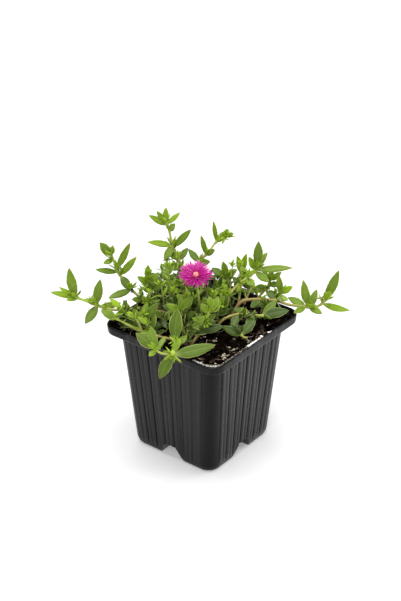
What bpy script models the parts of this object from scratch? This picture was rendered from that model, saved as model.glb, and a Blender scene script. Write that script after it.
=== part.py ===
"""Potted ice plant: trailing leafy stems and one bloom in a square ribbed nursery pot.

The frame has +Z up and its origin on the floor, on the pot's axis. Sizes are written in
millimetres and become metres through MM. The shoots are laid out as they are seen from the
pot's near corner: right, near and up, where near points towards the onlooker.
"""

import math
import random

import bmesh
import bpy
from mathutils import Vector
from mathutils.bvhtree import BVHTree

MM = 0.001
GAP = 0.3 * MM

# Onlooker, who stands off the pot's near corner
ONLOOKER_TURN = math.radians(38.0)
ONLOOKER_PITCH = math.radians(29.7)
RIGHT = Vector((math.cos(ONLOOKER_TURN), math.sin(ONLOOKER_TURN), 0.0))
NEAR = Vector((math.sin(ONLOOKER_TURN), -math.cos(ONLOOKER_TURN), 0.0))
UP = Vector((0.0, 0.0, 1.0))
TO_ONLOOKER = NEAR * math.cos(ONLOOKER_PITCH) + UP * math.sin(ONLOOKER_PITCH)

# Pot
POT_WIDTH = 90.0 * MM
POT_HEIGHT = 89.0 * MM
WALL = 1.3 * MM
LIP_DROP = 5.5 * MM
LIP_WALL = 1.6 * MM
LIP_CORNER = 9.0 * MM
WALL_TOP_HALF = 38.5 * MM
WALL_TOP_CORNER = 8.2 * MM
WALL_FOOT_HALF = 32.4 * MM
WALL_FOOT_CORNER = 7.4 * MM
FOOT_HEIGHT = 7.4 * MM
FOOT_HALF = 29.5 * MM
FOOT_CORNER = 7.2 * MM
CORNER_STEPS = 5

# Ribs on each side of the pot
RIB_COUNT = 7
RIB_PITCH = 8.8 * MM
RIB_WIDTH = 7.8 * MM
RIB_EDGE = 0.7 * MM
RIB_PROUD = 0.7 * MM
RIB_SHOULDER = 0.55
RIB_SUNK = 0.6 * MM
RIB_BOTTOM = 8.4 * MM
RIB_TOP = 82.4 * MM
RIB_ROUND = 1.2 * MM

# Arched channel under each pair of feet, and the drain holes in its crown
CHANNEL_WIDTH = 14.4 * MM
CHANNEL_HEIGHT = 10.2 * MM
CHANNEL_STEPS = 6
CHANNEL_SQUARE = 0.7
DRAIN_RADIUS = 2.4 * MM
DRAIN_REACH = 17.0 * MM
DRAIN_SPAN = (1.0 * MM, 14.0 * MM)

# Potting mix
SOIL_TOP = 86.1 * MM
SOIL_CELLS = 9
SOIL_HALF = 45.0 * MM
HOLE_DEPTH = 5.0 * MM
HOLE_SIDES = 5
HOLE_SLACK = 0.6 * MM

# Leaves
LEAF_SIDES = 3
LARGE_LEAF = 10.0 * MM
LARGE_LEAF_RINGS = 5
SMALL_LEAF_RINGS = 4
LEAF_THICKNESS = 0.42
LEAF_FACE = TO_ONLOOKER + UP * 0.4
LEAF_SCALES = (1.0, 0.8)
LEAF_SHIFTS = tuple(shift * MM for shift in (0, 2, -2, 4, -4, 6, -6, 8, -8))
CLEARANCE = 0.4 * MM

# Stems: how far each thins towards its tip, where its first point stands over the soil, and
# how far inside its end a leaf may start
STEM_TAPER = 0.65
BRANCH_RADII = (0.7, 0.55)
COLLAR = 1.0 * MM
END_INSET = 0.7 * MM

# Bloom
BLOOM_CENTRE = (-4.0, 5.0, 122.0)
BLOOM_TILT = math.radians(19.0)
BLOOM_RADIUS = 11.6 * MM
DISC_RADIUS = 5.0 * MM
DISC_THICKNESS = 1.2 * MM
KNOB_RADIUS = 2.1 * MM
PETAL_ROWS = (
    # petals, reach as a share of the bloom's radius, rise in degrees, turn as a share of a step
    (17, 1.00, 6.0, 0.0),
    (13, 0.92, 21.0, 0.4),
    (9, 0.76, 38.0, 0.2),
)
PETAL_WIDTH = 1.6 * MM
PETAL_THICKNESS = 0.72 * MM
PETAL_START = 3.4 * MM
STALK_ROOT = (-2.0, 3.0)
STALK_POINTS = ((-1.5, 3.0, 97.0), (-2.5, 3.4, 106.0))
STALK_RADII = (0.95 * MM, 0.8 * MM)
STALK_NODE = (-2.0, 3.0, 100.0)
STALK_LEAF_TIPS = ((-9.0, 6.0, 107.0), (4.0, 7.0, 106.0))
STALK_LEAF_WIDTH = 3.4 * MM
CALYX_DEPTH = 4.6 * MM
CALYX_RADII = (1.0 * MM, 3.4 * MM)
SEPALS = 5
SEPAL_LENGTH = 7.0 * MM
SEPAL_WIDTH = 2.6 * MM
SEPAL_THICKNESS = 1.1 * MM
SEPAL_DROOP = math.radians(-14.0)

# Shoots placed by hand, in millimetres right, near and up. Each has its root on the soil, the
# points that its stem passes, a branch where it has one, and its leaves: where each starts,
# where its tip is, and its width. The radius is the stem's at the root.
PLACED_SHOOTS = {
    "shoot_left_long": {
        "root": (-14, -2),
        "radius": 1.1,
        "stem": [(-26, -1, 93), (-40, 0, 96), (-47, 0, 95), (-58, 1, 96), (-67, 2, 100), (-79, 3, 106)],
        "leaves": [
            ((-80, 3, 106), (-82, 2, 126), 5.6),
            ((-79, 3, 106), (-94, 6, 111), 3.8),
            ((-78, 3, 106), (-89, 1, 112), 3.0),
            ((-77, 3, 105), (-84, 9, 107), 3.2),
            ((-66, 2, 100), (-63, 0, 117), 5.4),
            ((-65, 2, 99), (-73, 9, 90), 5.4),
            ((-64, 2, 98), (-51, -7, 96), 4.2),
            ((-68, 2, 100), (-68, -4, 104), 3.0),
            ((-59, 1, 96), (-55, 9, 92), 3.6),
        ],
    },
    "shoot_left_upper": {
        "root": (-22, -8),
        "radius": 1.1,
        "stem": [
            (-30, -8, 93),
            (-36, -9, 96),
            (-45, -14, 102),
            (-53, -18, 112),
            (-56, -20, 120),
            (-58, -21, 123),
        ],
        "leaves": [
            ((-58, -20, 122), (-64, -20, 132), 5.4),
            ((-54, -18, 114), (-45, -20, 132), 4.3),
            ((-52, -17, 110), (-41, -18, 123), 4.3),
            ((-53, -18, 112), (-67, -14, 116), 3.7),
            ((-51, -17, 110), (-45, -12, 102), 5.0),
            ((-56, -20, 120), (-62, -16, 119), 3.4),
            ((-58, -21, 122), (-56, -22, 129), 3.4),
            ((-45, -14, 101), (-59, -4, 101), 4.6),
            ((-38, -10, 97), (-44, -2, 101), 4.0),
        ],
    },
    "shoot_left_rim": {
        "root": (-15, 26),
        "radius": 1.0,
        "stem": [(-20, 27, 90), (-26, 26, 91), (-37, 21, 92), (-46, 15, 93), (-54, 10, 95)],
        "branch": [(-37, 21, 92), (-39, 21, 98), (-41, 20, 101)],
        "leaves": [
            ((-54, 10, 95), (-63, 8, 99), 5.0),
            ((-38, 20, 93), (-51, 8, 93), 4.0),
            ((-52, 10, 94), (-49, 3, 98), 3.4),
            ((-41, 20, 101), (-42, 19, 107), 3.0),
            ((-41, 20, 100), (-46, 20, 101), 2.8),
            ((-40, 20, 99), (-36, 17, 103), 3.0),
        ],
    },
    "shoot_front_hanging": {
        "root": (-18, 22),
        "radius": 1.2,
        "stem": [(-17, 28, 94), (-16, 36, 98), (-17, 44, 96), (-18, 50, 92)],
        "branch": [(-18, 50, 92), (-24, 49, 93), (-28, 48, 95), (-30, 47, 97)],
        "leaves": [
            ((-18, 50, 91), (-26, 54, 78), 6.4),
            ((-18, 50, 92), (8, 47, 98), 6.8),
            ((-17, 41, 97), (-15, 34, 116), 7.2),
            ((-18, 49, 93), (-13, 44, 101), 3.6),
            ((-17, 44, 96), (-9, 36, 98), 4.0),
            ((-29, 48, 96), (-40, 43, 104), 6.6),
            ((-28, 48, 96), (-31, 41, 107), 5.6),
            ((-27, 48, 95), (-22, 40, 100), 3.0),
            ((-28, 48, 95), (-32, 52, 93), 3.2),
        ],
    },
    "shoot_front_middle": {
        "root": (-7, 30),
        "radius": 1.0,
        "stem": [(-3, 28, 93), (0, 26, 99), (4, 24, 106), (6, 23, 110)],
        "leaves": [
            ((-1, 27, 95), (13, 27, 99), 5.0),
            ((0, 26, 99), (-5, 24, 104), 4.0),
            ((1, 26, 100), (8, 21, 104), 4.0),
            ((4, 24, 106), (-1, 22, 112), 4.0),
            ((5, 24, 107), (11, 20, 111), 4.0),
            ((6, 23, 110), (4, 20, 116), 3.6),
            ((6, 23, 109), (10, 20, 116), 3.4),
            ((-3, 28, 93), (-9, 24, 97), 4.0),
        ],
    },
    "shoot_front_left": {
        "root": (-35, 13),
        "radius": 0.9,
        "stem": [(-36, 14, 92), (-36, 14, 98)],
        "leaves": [
            ((-36, 14, 95), (-27, 12, 107), 4.8),
            ((-36, 14, 91), (-25, 17, 94), 4.2),
            ((-36, 14, 95), (-42, 12, 101), 3.8),
            ((-36, 14, 98), (-34, 10, 106), 3.6),
            ((-36, 14, 91), (-45, 18, 96), 4.0),
        ],
    },
    "shoot_centre_front": {
        "root": (-13, 13),
        "radius": 0.9,
        "stem": [(-13, 12, 94), (-13, 12, 101)],
        "leaves": [
            ((-13, 12, 100), (-6, 10, 111), 5.0),
            ((-13, 12, 99), (-22, 12, 106), 4.4),
            ((-13, 12, 95), (-21, 17, 98), 4.2),
            ((-13, 12, 95), (-4, 13, 101), 4.2),
            ((-13, 12, 101), (-13, 8, 109), 3.6),
        ],
    },
    "shoot_centre_right": {
        "root": (3, 8),
        "radius": 0.9,
        "stem": [(6, 5, 93), (7, 4, 99)],
        "leaves": [
            ((7, 4, 98), (14, 2, 106), 4.2),
            ((7, 4, 98), (0, 2, 105), 4.0),
            ((7, 4, 95), (17, 6, 99), 4.0),
            ((7, 4, 99), (7, 0, 107), 3.6),
            ((6, 5, 94), (0, 10, 99), 4.0),
        ],
    },
    "shoot_right_rim": {
        "root": (27, 22),
        "radius": 0.9,
        "stem": [(25, 23, 89), (22, 22, 92)],
        "leaves": [
            ((24, 23, 90), (12, 20, 95), 4.6),
            ((23, 23, 90), (33, 14, 96), 5.0),
            ((22, 22, 91), (25, 22, 97), 2.8),
            ((22, 22, 92), (18, 20, 96), 2.8),
        ],
    },
    "shoot_right_low": {
        "root": (8, 13),
        "radius": 1.0,
        "stem": [(13, 12, 95), (22, 9, 97), (31, 8, 96), (38, 6, 94)],
        "leaves": [
            ((37, 6, 94), (54, 6, 98), 6.0),
            ((38, 6, 94), (46, 0, 102), 4.6),
            ((31, 8, 96), (28, 18, 91), 5.0),
            ((30, 8, 96), (19, 4, 98), 4.4),
            ((38, 6, 94), (43, 2, 97), 3.4),
            ((22, 9, 97), (18, 17, 92), 4.4),
        ],
    },
    "shoot_right_long": {
        "root": (18, -3),
        "radius": 1.2,
        "stem": [
            (24, -4, 98),
            (33, -6, 99),
            (46, -8, 97),
            (55, -8, 94),
            (68, -7, 93),
            (74, -6, 95),
            (77, -6, 99),
        ],
        "leaves": [
            ((67, -7, 93), (63, -10, 111), 5.2),
            ((65, -7, 93), (54, -14, 96), 4.6),
            ((77, -6, 98), (85, -8, 119), 5.6),
            ((75, -6, 96), (93, -6, 91), 4.2),
            ((68, -7, 93), (72, -12, 103), 4.4),
            ((65, -7, 93), (57, -1, 92), 3.8),
            ((67, -7, 93), (75, 0, 92), 4.2),
            ((77, -6, 98), (80, -2, 107), 4.0),
            ((46, -8, 97), (40, -14, 101), 3.8),
            ((36, -7, 98), (30, 1, 97), 4.2),
        ],
    },
    "shoot_right_upper": {
        "root": (8, 1),
        "radius": 1.1,
        "stem": [(14, -4, 99), (22, -10, 107), (28, -14, 110), (33, -18, 112), (35, -19, 116)],
        "leaves": [
            ((35, -19, 115), (35, -20, 133), 5.6),
            ((34, -18, 113), (29, -20, 122), 4.0),
            ((35, -19, 114), (41, -22, 124), 3.8),
            ((34, -18, 113), (57, -18, 115), 4.4),
            ((34, -18, 112), (42, -12, 108), 4.4),
            ((28, -14, 110), (24, -18, 116), 4.0),
            ((27, -14, 109), (33, -8, 108), 4.4),
            ((16, -5, 101), (12, 1, 106), 4.0),
        ],
    },
    "shoot_right_edge": {
        "root": (38, -14),
        "radius": 0.9,
        "stem": [(42, -15, 92), (46, -16, 93), (48, -15, 96), (50, -15, 99)],
        "leaves": [
            ((50, -15, 99), (48, -16, 111), 4.0),
            ((50, -15, 98), (57, -14, 104), 3.8),
            ((48, -15, 96), (55, -20, 91), 3.8),
            ((47, -15, 95), (42, -18, 99), 3.6),
        ],
    },
    "shoot_right_back": {
        "root": (32, -18),
        "radius": 0.9,
        "stem": [(36, -20, 93), (40, -20, 98), (42, -20, 102), (43, -20, 106)],
        "leaves": [
            ((43, -20, 105), (50, -20, 111), 3.6),
            ((43, -20, 104), (38, -22, 111), 4.0),
            ((42, -20, 102), (49, -18, 103), 3.8),
            ((40, -20, 99), (34, -20, 101), 3.6),
            ((43, -20, 106), (44, -22, 112), 3.2),
        ],
    },
    "shoot_back_tall": {
        "root": (-5, -19),
        "radius": 1.1,
        "stem": [
            (-9, -24, 98),
            (-13, -28, 108),
            (-16, -31, 117),
            (-19, -34, 123),
            (-21, -38, 131),
            (-23, -40, 136),
        ],
        "leaves": [
            ((-22, -40, 134), (-34, -40, 141), 4.0),
            ((-23, -40, 136), (-29, -42, 143), 3.4),
            ((-22, -40, 135), (-14, -42, 142), 3.2),
            ((-21, -38, 131), (-17, -34, 138), 4.0),
            ((-18, -33, 122), (-7, -34, 134), 4.5),
            ((-19, -33, 122), (-35, -32, 126), 3.9),
            ((-19, -34, 122), (-24, -28, 115), 4.6),
            ((-23, -40, 136), (-23, -41, 146), 3.8),
            ((-15, -30, 114), (-9, -34, 121), 4.0),
            ((-15, -30, 114), (-22, -34, 119), 3.8),
            ((-13, -28, 109), (-26, -26, 113), 4.4),
            ((-12, -27, 106), (-7, -20, 110), 4.2),
        ],
    },
    "shoot_back_slim": {
        "root": (4, -24),
        "radius": 1.0,
        "stem": [(0, -28, 102), (-2, -31, 112), (4, -35, 117), (9, -40, 122), (16, -42, 125)],
        "leaves": [
            ((9, -40, 122), (7, -40, 137), 2.8),
            ((2, -34, 116), (-1, -34, 130), 3.2),
            ((2, -34, 116), (8, -29, 122), 3.8),
            ((9, -40, 122), (14, -45, 127), 3.2),
            ((15, -42, 125), (20, -40, 128), 3.2),
            ((13, -41, 124), (16, -43, 130), 3.0),
            ((-2, -31, 112), (-9, -36, 119), 4.2),
            ((-2, -31, 111), (5, -26, 115), 4.4),
        ],
    },
    "shoot_left_upright": {
        "root": (-29, -14),
        "radius": 0.9,
        "stem": [(-31, -14, 97), (-33, -14, 104), (-34, -14, 109)],
        "leaves": [
            ((-34, -14, 108), (-34, -15, 119), 4.0),
            ((-33, -14, 106), (-41, -14, 111), 4.0),
            ((-33, -14, 106), (-27, -16, 113), 4.0),
            ((-32, -14, 101), (-38, -10, 105), 4.0),
            ((-32, -14, 101), (-24, -14, 106), 4.0),
        ],
    },
    "shoot_upright_a": {
        "root": (16, -17),
        "radius": 0.9,
        "stem": [(17, -21, 94), (16, -24, 102), (15, -24, 107)],
        "leaves": [
            ((15, -24, 106), (13, -25, 116), 4.0),
            ((16, -24, 104), (10, -24, 110), 3.6),
            ((16, -24, 103), (20, -25, 110), 4.0),
            ((17, -22, 98), (10, -20, 101), 3.6),
        ],
    },
    "shoot_upright_b": {
        "root": (23, -21),
        "radius": 0.9,
        "stem": [(24, -25, 94), (25, -27, 101), (25, -28, 106)],
        "leaves": [
            ((25, -28, 105), (22, -29, 118), 4.0),
            ((25, -28, 106), (28, -30, 119), 4.0),
            ((25, -27, 101), (31, -29, 107), 3.8),
            ((24, -26, 98), (19, -30, 102), 3.6),
        ],
    },
    "shoot_over_back_left": {
        "root": (-17, -33),
        "radius": 1.0,
        "stem": [(-21, -39, 92), (-25, -46, 93), (-28, -51, 88), (-29, -54, 79), (-31, -57, 72)],
        "leaves": [
            ((-31, -57, 72), (-34, -62, 60), 5.4),
            ((-31, -57, 73), (-40, -58, 66), 4.8),
            ((-29, -54, 79), (-22, -61, 70), 5.2),
            ((-29, -54, 80), (-38, -55, 84), 5.0),
            ((-27, -50, 90), (-21, -56, 95), 4.8),
            ((-27, -50, 90), (-37, -47, 94), 5.0),
            ((-22, -41, 92), (-16, -45, 96), 4.4),
        ],
    },
    "shoot_over_back_right": {
        "root": (12, -32),
        "radius": 1.0,
        "stem": [(13, -39, 92), (14, -47, 93), (15, -53, 88), (15, -56, 79)],
        "leaves": [
            ((15, -56, 79), (12, -61, 66), 5.4),
            ((15, -56, 79), (23, -60, 71), 5.0),
            ((15, -55, 82), (6, -59, 80), 5.0),
            ((15, -51, 90), (23, -55, 94), 4.8),
            ((14, -48, 92), (6, -53, 96), 4.8),
            ((13, -41, 92), (20, -44, 97), 4.4),
        ],
    },
    "shoot_over_far_right": {
        "root": (27, -23),
        "radius": 1.0,
        "stem": [(30, -29, 92), (33, -34, 93), (35, -38, 88), (36, -40, 80)],
        "leaves": [
            ((36, -40, 80), (38, -44, 68), 5.2),
            ((36, -40, 81), (45, -39, 76), 4.8),
            ((35, -38, 87), (28, -44, 84), 4.8),
            ((35, -37, 89), (44, -34, 91), 4.8),
            ((31, -31, 92), (25, -36, 97), 4.4),
        ],
    },
    "shoot_left_broad": {
        "root": (-33, 8),
        "radius": 0.9,
        "stem": [(-34, 6, 93), (-34, 5, 99), (-34, 4, 103)],
        "leaves": [
            ((-34, 6, 93), (-28, -2, 99), 4.4),
            ((-34, 6, 93), (-39, 8, 102), 3.6),
            ((-34, 5, 98), (-30, 9, 107), 3.0),
            ((-34, 4, 102), (-33, 3, 109), 2.8),
            ((-34, 4, 101), (-37, 6, 108), 2.6),
        ],
    },
    "shoot_behind_left": {
        "root": (-13, -20),
        "radius": 0.9,
        "stem": [(-12, -19, 97), (-13, -20, 103)],
        "leaves": [
            ((-13, -20, 102), (-25, -17, 105), 3.8),
            ((-12, -18, 98), (-26, -12, 101), 4.0),
            ((-13, -20, 102), (-8, -22, 107), 3.0),
            ((-12, -18, 98), (-4, -14, 102), 3.2),
        ],
    },
    "shoot_broad_middle": {
        "root": (-12, 4),
        "radius": 1.0,
        "stem": [(-13, 3, 97), (-11, 2, 102)],
        "leaves": [
            ((-13, 3, 97), (-6, 0, 104), 5.2),
            ((-13, 3, 97), (-25, 4, 100), 5.0),
            ((-13, 4, 95), (-6, 10, 89), 4.6),
            ((-11, 2, 101), (-16, 0, 107), 3.2),
        ],
    },
    "shoot_bright_middle": {
        "root": (6, -5),
        "radius": 0.9,
        "stem": [(5, -6, 94), (7, -7, 101)],
        "leaves": [
            ((5, -6, 95), (13, -4, 100), 3.6),
            ((5, -6, 95), (-2, -8, 97), 3.6),
            ((7, -7, 100), (3, -6, 108), 3.0),
            ((7, -7, 100), (11, -9, 106), 3.0),
            ((5, -5, 93), (12, 2, 92), 3.8),
        ],
    },
    "shoot_low_left": {
        "root": (-20, 10),
        "radius": 0.9,
        "stem": [(-23, 10, 92), (-26, 12, 97)],
        "leaves": [
            ((-23, 10, 93), (-32, 15, 90), 4.2),
            ((-23, 10, 93), (-19, 4, 98), 3.8),
            ((-26, 12, 97), (-30, 10, 101), 3.4),
            ((-25, 12, 96), (-22, 18, 92), 3.2),
        ],
    },
    "shoot_right_tuft": {
        "root": (36, -4),
        "radius": 0.8,
        "stem": [(40, -4, 92), (41, -5, 95)],
        "leaves": [
            ((40, -4, 93), (34, -3, 99), 2.6),
            ((40, -4, 93), (37, -6, 99), 2.6),
            ((41, -5, 95), (41, -7, 99), 2.6),
            ((41, -5, 95), (47, -8, 95), 2.8),
            ((41, -4, 93), (45, 0, 96), 2.8),
        ],
    },
}

# Clumps of short shoots that fill the middle, placed by a seeded rule on a loose grid
FILLER_SEED = 8
FILLER_GRID = 12.0 * MM
FILLER_SCATTER = 3.0 * MM
FILLER_SPACING = 4.5 * MM
FILLER_STEMS = 3
FILLER_RADIUS = 0.8 * MM
FILLER_TAPER = 0.7
FILLER_LENGTH = (11.0 * MM, 23.0 * MM)
FILLER_LEAN = (0.6, 1.7)
FILLER_FAN = 0.3
FILLER_NODE_STEP = 7.0 * MM
FILLER_LAST = 0.92
FILLER_LEAF_LENGTH = (9.0 * MM, 13.0 * MM)
FILLER_LEAF_WIDTH = 0.38
FILLER_LEAF_SPREAD = (80.0, 38.0)
FILLER_TURNS = (0.0, 0.35, -0.35, 0.8, -0.8, 1.2)
FILLER_REACH = 31.5 * MM
FILLER_TOP = 106.0 * MM
FILLER_SLOPE_START = 24.0 * MM
FILLER_SLOPE = 0.6
BARE_CORNER = (-4.0, 8.0)
FILLER_RIGHT_END = 19.0 * MM

POT_COLOUR = (0.035, 0.035, 0.037)
SOIL_COLOUR = (0.035, 0.024, 0.017)
LEAF_COLOUR = (0.16, 0.30, 0.06)
STALK_COLOUR = (0.30, 0.42, 0.08)
PETAL_COLOUR = (0.62, 0.02, 0.36)
KNOB_COLOUR = (0.95, 0.55, 0.52)


def seen(point):
    """Turn right, near and up in millimetres into a point of the part's frame."""
    right, near, up = point
    return (RIGHT * right + NEAR * near + UP * up) * MM


def between(low, high, share):
    """Mix two numbers or vectors."""
    return low + (high - low) * share


# Scene and material helpers


def clear_scene():
    """Remove the objects of the start-up scene."""
    for item in list(bpy.data.objects):
        bpy.data.objects.remove(item, do_unlink=True)


def new_collection(name):
    """Add a collection to the scene."""
    collection = bpy.data.collections.new(name)
    bpy.context.scene.collection.children.link(collection)
    return collection


def plain_material(name, colour, roughness):
    """Make a Principled material of one colour."""
    material = bpy.data.materials.new(name)
    material.use_nodes = True
    shader = material.node_tree.nodes["Principled BSDF"]
    shader.inputs["Base Color"].default_value = (*colour, 1.0)
    shader.inputs["Roughness"].default_value = roughness
    shader.inputs["Metallic"].default_value = 0.0
    material.diffuse_color = (*colour, 1.0)
    return material


def object_from(name, mesh_builder, collection):
    """Make an object from a bmesh, with its faces turned outward."""
    bmesh.ops.recalc_face_normals(mesh_builder, faces=mesh_builder.faces)
    mesh = bpy.data.meshes.new(name)
    mesh_builder.to_mesh(mesh)
    mesh_builder.free()
    item = bpy.data.objects.new(name, mesh)
    collection.objects.link(item)
    return item


def finish(item, material, smooth_angle):
    """Give a finished solid its material and shading."""
    item.data.materials.clear()
    item.data.materials.append(material)
    item.data.shade_smooth()
    item.data.set_sharp_from_angle(angle=math.radians(smooth_angle))


def combine(item, operation, operands, solver="EXACT"):
    """Join, cut or intersect an object with others, then remove those."""
    group = new_collection(item.name + "_operands")
    for operand in operands:
        for owner in list(operand.users_collection):
            owner.objects.unlink(operand)
        group.objects.link(operand)
    modifier = item.modifiers.new("Boolean", "BOOLEAN")
    modifier.operation = operation
    modifier.operand_type = "COLLECTION"
    modifier.collection = group
    modifier.solver = solver
    graph = bpy.context.evaluated_depsgraph_get()
    graph.update()
    result = bpy.data.meshes.new_from_object(item.evaluated_get(graph))
    item.modifiers.clear()
    item.data = result
    for operand in operands:
        bpy.data.objects.remove(operand, do_unlink=True)
    bpy.data.collections.remove(group)


# Pot


def square_ring(half, z, corner, steps=CORNER_STEPS):
    """Points round a square with round corners, at one height."""
    ring = []
    for quarter in range(4):
        start = quarter * math.pi / 2.0
        centre = Vector((math.cos(start + math.pi / 4.0), math.sin(start + math.pi / 4.0), 0.0))
        centre *= (half - corner) * math.sqrt(2.0)
        for step in range(steps + 1):
            angle = start + step * math.pi / 2.0 / steps
            ring.append(centre + Vector((math.cos(angle), math.sin(angle), 0.0)) * corner + UP * z)
    return ring


def loft(name, sections, collection):
    """Closed solid through square sections of half width, height and corner radius."""
    builder = bmesh.new()
    rings = [[builder.verts.new(point) for point in square_ring(*section)] for section in sections]
    for lower, upper in zip(rings, rings[1:]):
        count = len(lower)
        for index in range(count):
            after = (index + 1) % count
            builder.faces.new((lower[index], lower[after], upper[after], upper[index]))
    builder.faces.new(reversed(rings[0]))
    builder.faces.new(rings[-1])
    return object_from(name, builder, collection)


def wall_half(z):
    """Half width of the pot's outer wall at a height, above its feet."""
    share = (z - FOOT_HEIGHT) / (POT_HEIGHT - LIP_DROP - FOOT_HEIGHT)
    return between(WALL_FOOT_HALF, WALL_TOP_HALF, share)


def wall_corner(z):
    """Corner radius of the pot's outer wall at a height, above its feet."""
    share = (z - FOOT_HEIGHT) / (POT_HEIGHT - LIP_DROP - FOOT_HEIGHT)
    return between(WALL_FOOT_CORNER, WALL_TOP_CORNER, share)


def outside_sections():
    """Outer profile of the pot, from the floor up over the step of its collar to the rim."""
    rim_half = POT_WIDTH / 2.0
    step = POT_HEIGHT - LIP_DROP
    return [
        (FOOT_HALF, 0.0, FOOT_CORNER),
        (FOOT_HALF + 1.4 * MM, 1.0 * MM, FOOT_CORNER + 0.2 * MM),
        (WALL_FOOT_HALF - 0.7 * MM, 3.4 * MM, WALL_FOOT_CORNER - 0.2 * MM),
        (WALL_FOOT_HALF, FOOT_HEIGHT, WALL_FOOT_CORNER),
        (wall_half(step), step, wall_corner(step)),
        (rim_half - 1.2 * MM, step + 0.1 * MM, LIP_CORNER - 0.8 * MM),
        (rim_half - 0.4 * MM, step + 0.9 * MM, LIP_CORNER),
        (rim_half, POT_HEIGHT - 1.0 * MM, LIP_CORNER),
        (rim_half - 0.5 * MM, POT_HEIGHT, LIP_CORNER - 0.4 * MM),
    ]


def inside_sections(gap=0.0):
    """Inner profile of the pot, or of what fills it with a gap all round."""
    floor = WALL + gap
    bend = FOOT_HEIGHT + 0.3 * MM
    step = POT_HEIGHT - LIP_DROP + LIP_WALL - 0.4 * MM + gap
    inset = WALL + gap
    collar = POT_WIDTH / 2.0 - LIP_WALL - gap
    above = POT_HEIGHT + 2.0 * MM
    return [
        (FOOT_HALF - inset + 0.2 * MM, floor, FOOT_CORNER - WALL),
        (WALL_FOOT_HALF - inset - 0.9 * MM, 3.6 * MM, WALL_FOOT_CORNER - WALL - 0.2 * MM),
        (wall_half(bend) - inset, bend, wall_corner(bend) - WALL),
        (wall_half(step) - inset, step, wall_corner(step) - WALL),
        (collar - 0.6 * MM, step + 0.3 * MM, LIP_CORNER - LIP_WALL),
        (collar - 0.2 * MM, POT_HEIGHT - 0.6 * MM, LIP_CORNER - LIP_WALL),
        (collar + 0.1 * MM, above, LIP_CORNER - LIP_WALL),
    ]


def arch_block(name, along_x, extra, length, collection):
    """Arched bar through the middle of the base, wider and higher by a margin."""
    builder = bmesh.new()
    half = CHANNEL_WIDTH / 2.0 + extra
    height = CHANNEL_HEIGHT + extra
    outline = [(-half, -2.0 * MM)]
    for step in range(CHANNEL_STEPS + 1):
        angle = math.pi * (1.0 - step / CHANNEL_STEPS)
        across = math.copysign(abs(math.cos(angle)) ** CHANNEL_SQUARE, math.cos(angle))
        outline.append((half * across, height * max(0.0, math.sin(angle)) ** CHANNEL_SQUARE))
    outline.append((half, -2.0 * MM))
    ends = []
    for reach in (-length / 2.0, length / 2.0):
        places = [(reach, a, z) if along_x else (a, reach, z) for a, z in outline]
        ends.append([builder.verts.new(place) for place in places])
    count = len(outline)
    for index in range(count):
        after = (index + 1) % count
        builder.faces.new((ends[0][index], ends[0][after], ends[1][after], ends[1][index]))
    builder.faces.new(ends[0])
    builder.faces.new(ends[1])
    return object_from(name, builder, collection)


def both_arches(extra, length, collection):
    """The two arched bars that cross under the pot."""
    return [arch_block("arch", along_x, extra, length, collection) for along_x in (True, False)]


def upright_cylinder(name, x, y, low, high, radius, collection, sides=10):
    """Plain round cutter that stands upright."""
    builder = bmesh.new()
    bmesh.ops.create_cone(
        builder, cap_ends=True, segments=sides, radius1=radius, radius2=radius, depth=high - low
    )
    bmesh.ops.translate(builder, verts=builder.verts, vec=(x, y, (low + high) / 2.0))
    return object_from(name, builder, collection)


def rib(side, place, collection):
    """One upright band on a side of the pot, crowned along its middle and chamfered at its top."""
    builder = bmesh.new()
    levels = ((RIB_BOTTOM, 0.0), (RIB_TOP - RIB_ROUND, 0.0), (RIB_TOP, 1.0))
    turn = side * math.pi / 2.0
    outward = Vector((math.cos(turn), math.sin(turn), 0.0))
    along = Vector((-math.sin(turn), math.cos(turn), 0.0))
    rings = []
    for z, closing in levels:
        fan = wall_half(z) / WALL_TOP_HALF
        middle = place * fan
        half = RIB_WIDTH / 2.0 * fan
        crest = between(RIB_PROUD, -0.1 * MM, closing)
        shoulder = between(RIB_PROUD * RIB_SHOULDER, -0.2 * MM, closing)
        edge = half - RIB_EDGE
        outline = (
            (-half, -RIB_SUNK),
            (half, -RIB_SUNK),
            (edge, shoulder),
            (0.0, crest),
            (-edge, shoulder),
        )
        ring = [along * (middle + a) + outward * (wall_half(z) + b) + UP * z for a, b in outline]
        rings.append([builder.verts.new(point) for point in ring])
    for lower, upper in zip(rings, rings[1:]):
        for index in range(len(lower)):
            after = (index + 1) % len(lower)
            builder.faces.new((lower[index], lower[after], upper[after], upper[index]))
    builder.faces.new(rings[0])
    builder.faces.new(rings[-1])
    return object_from("rib", builder, collection)


def make_pot(collection):
    """Thin-walled square pot with a stepped collar, ribs, feet and drain holes."""
    pot = loft("pot", outside_sections(), collection)
    hollow = loft("hollow", inside_sections(), collection)
    combine(hollow, "DIFFERENCE", both_arches(WALL, 2.0 * POT_WIDTH, collection), "MANIFOLD")
    first = -(RIB_COUNT - 1) / 2.0 * RIB_PITCH
    places = [first + index * RIB_PITCH for index in range(RIB_COUNT)]
    combine(pot, "UNION", [rib(side, place, collection) for side in range(4) for place in places])
    combine(pot, "DIFFERENCE", [hollow], "MANIFOLD")
    drains = []
    for x, y in ((0, 0), (1, 0), (-1, 0), (0, 1), (0, -1)):
        reach = (x * DRAIN_REACH, y * DRAIN_REACH)
        drains.append(upright_cylinder("drain", *reach, *DRAIN_SPAN, DRAIN_RADIUS, collection))
    combine(pot, "DIFFERENCE", both_arches(0.0, 2.0 * POT_WIDTH, collection) + drains, "MANIFOLD")
    return pot


# Potting mix


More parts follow.
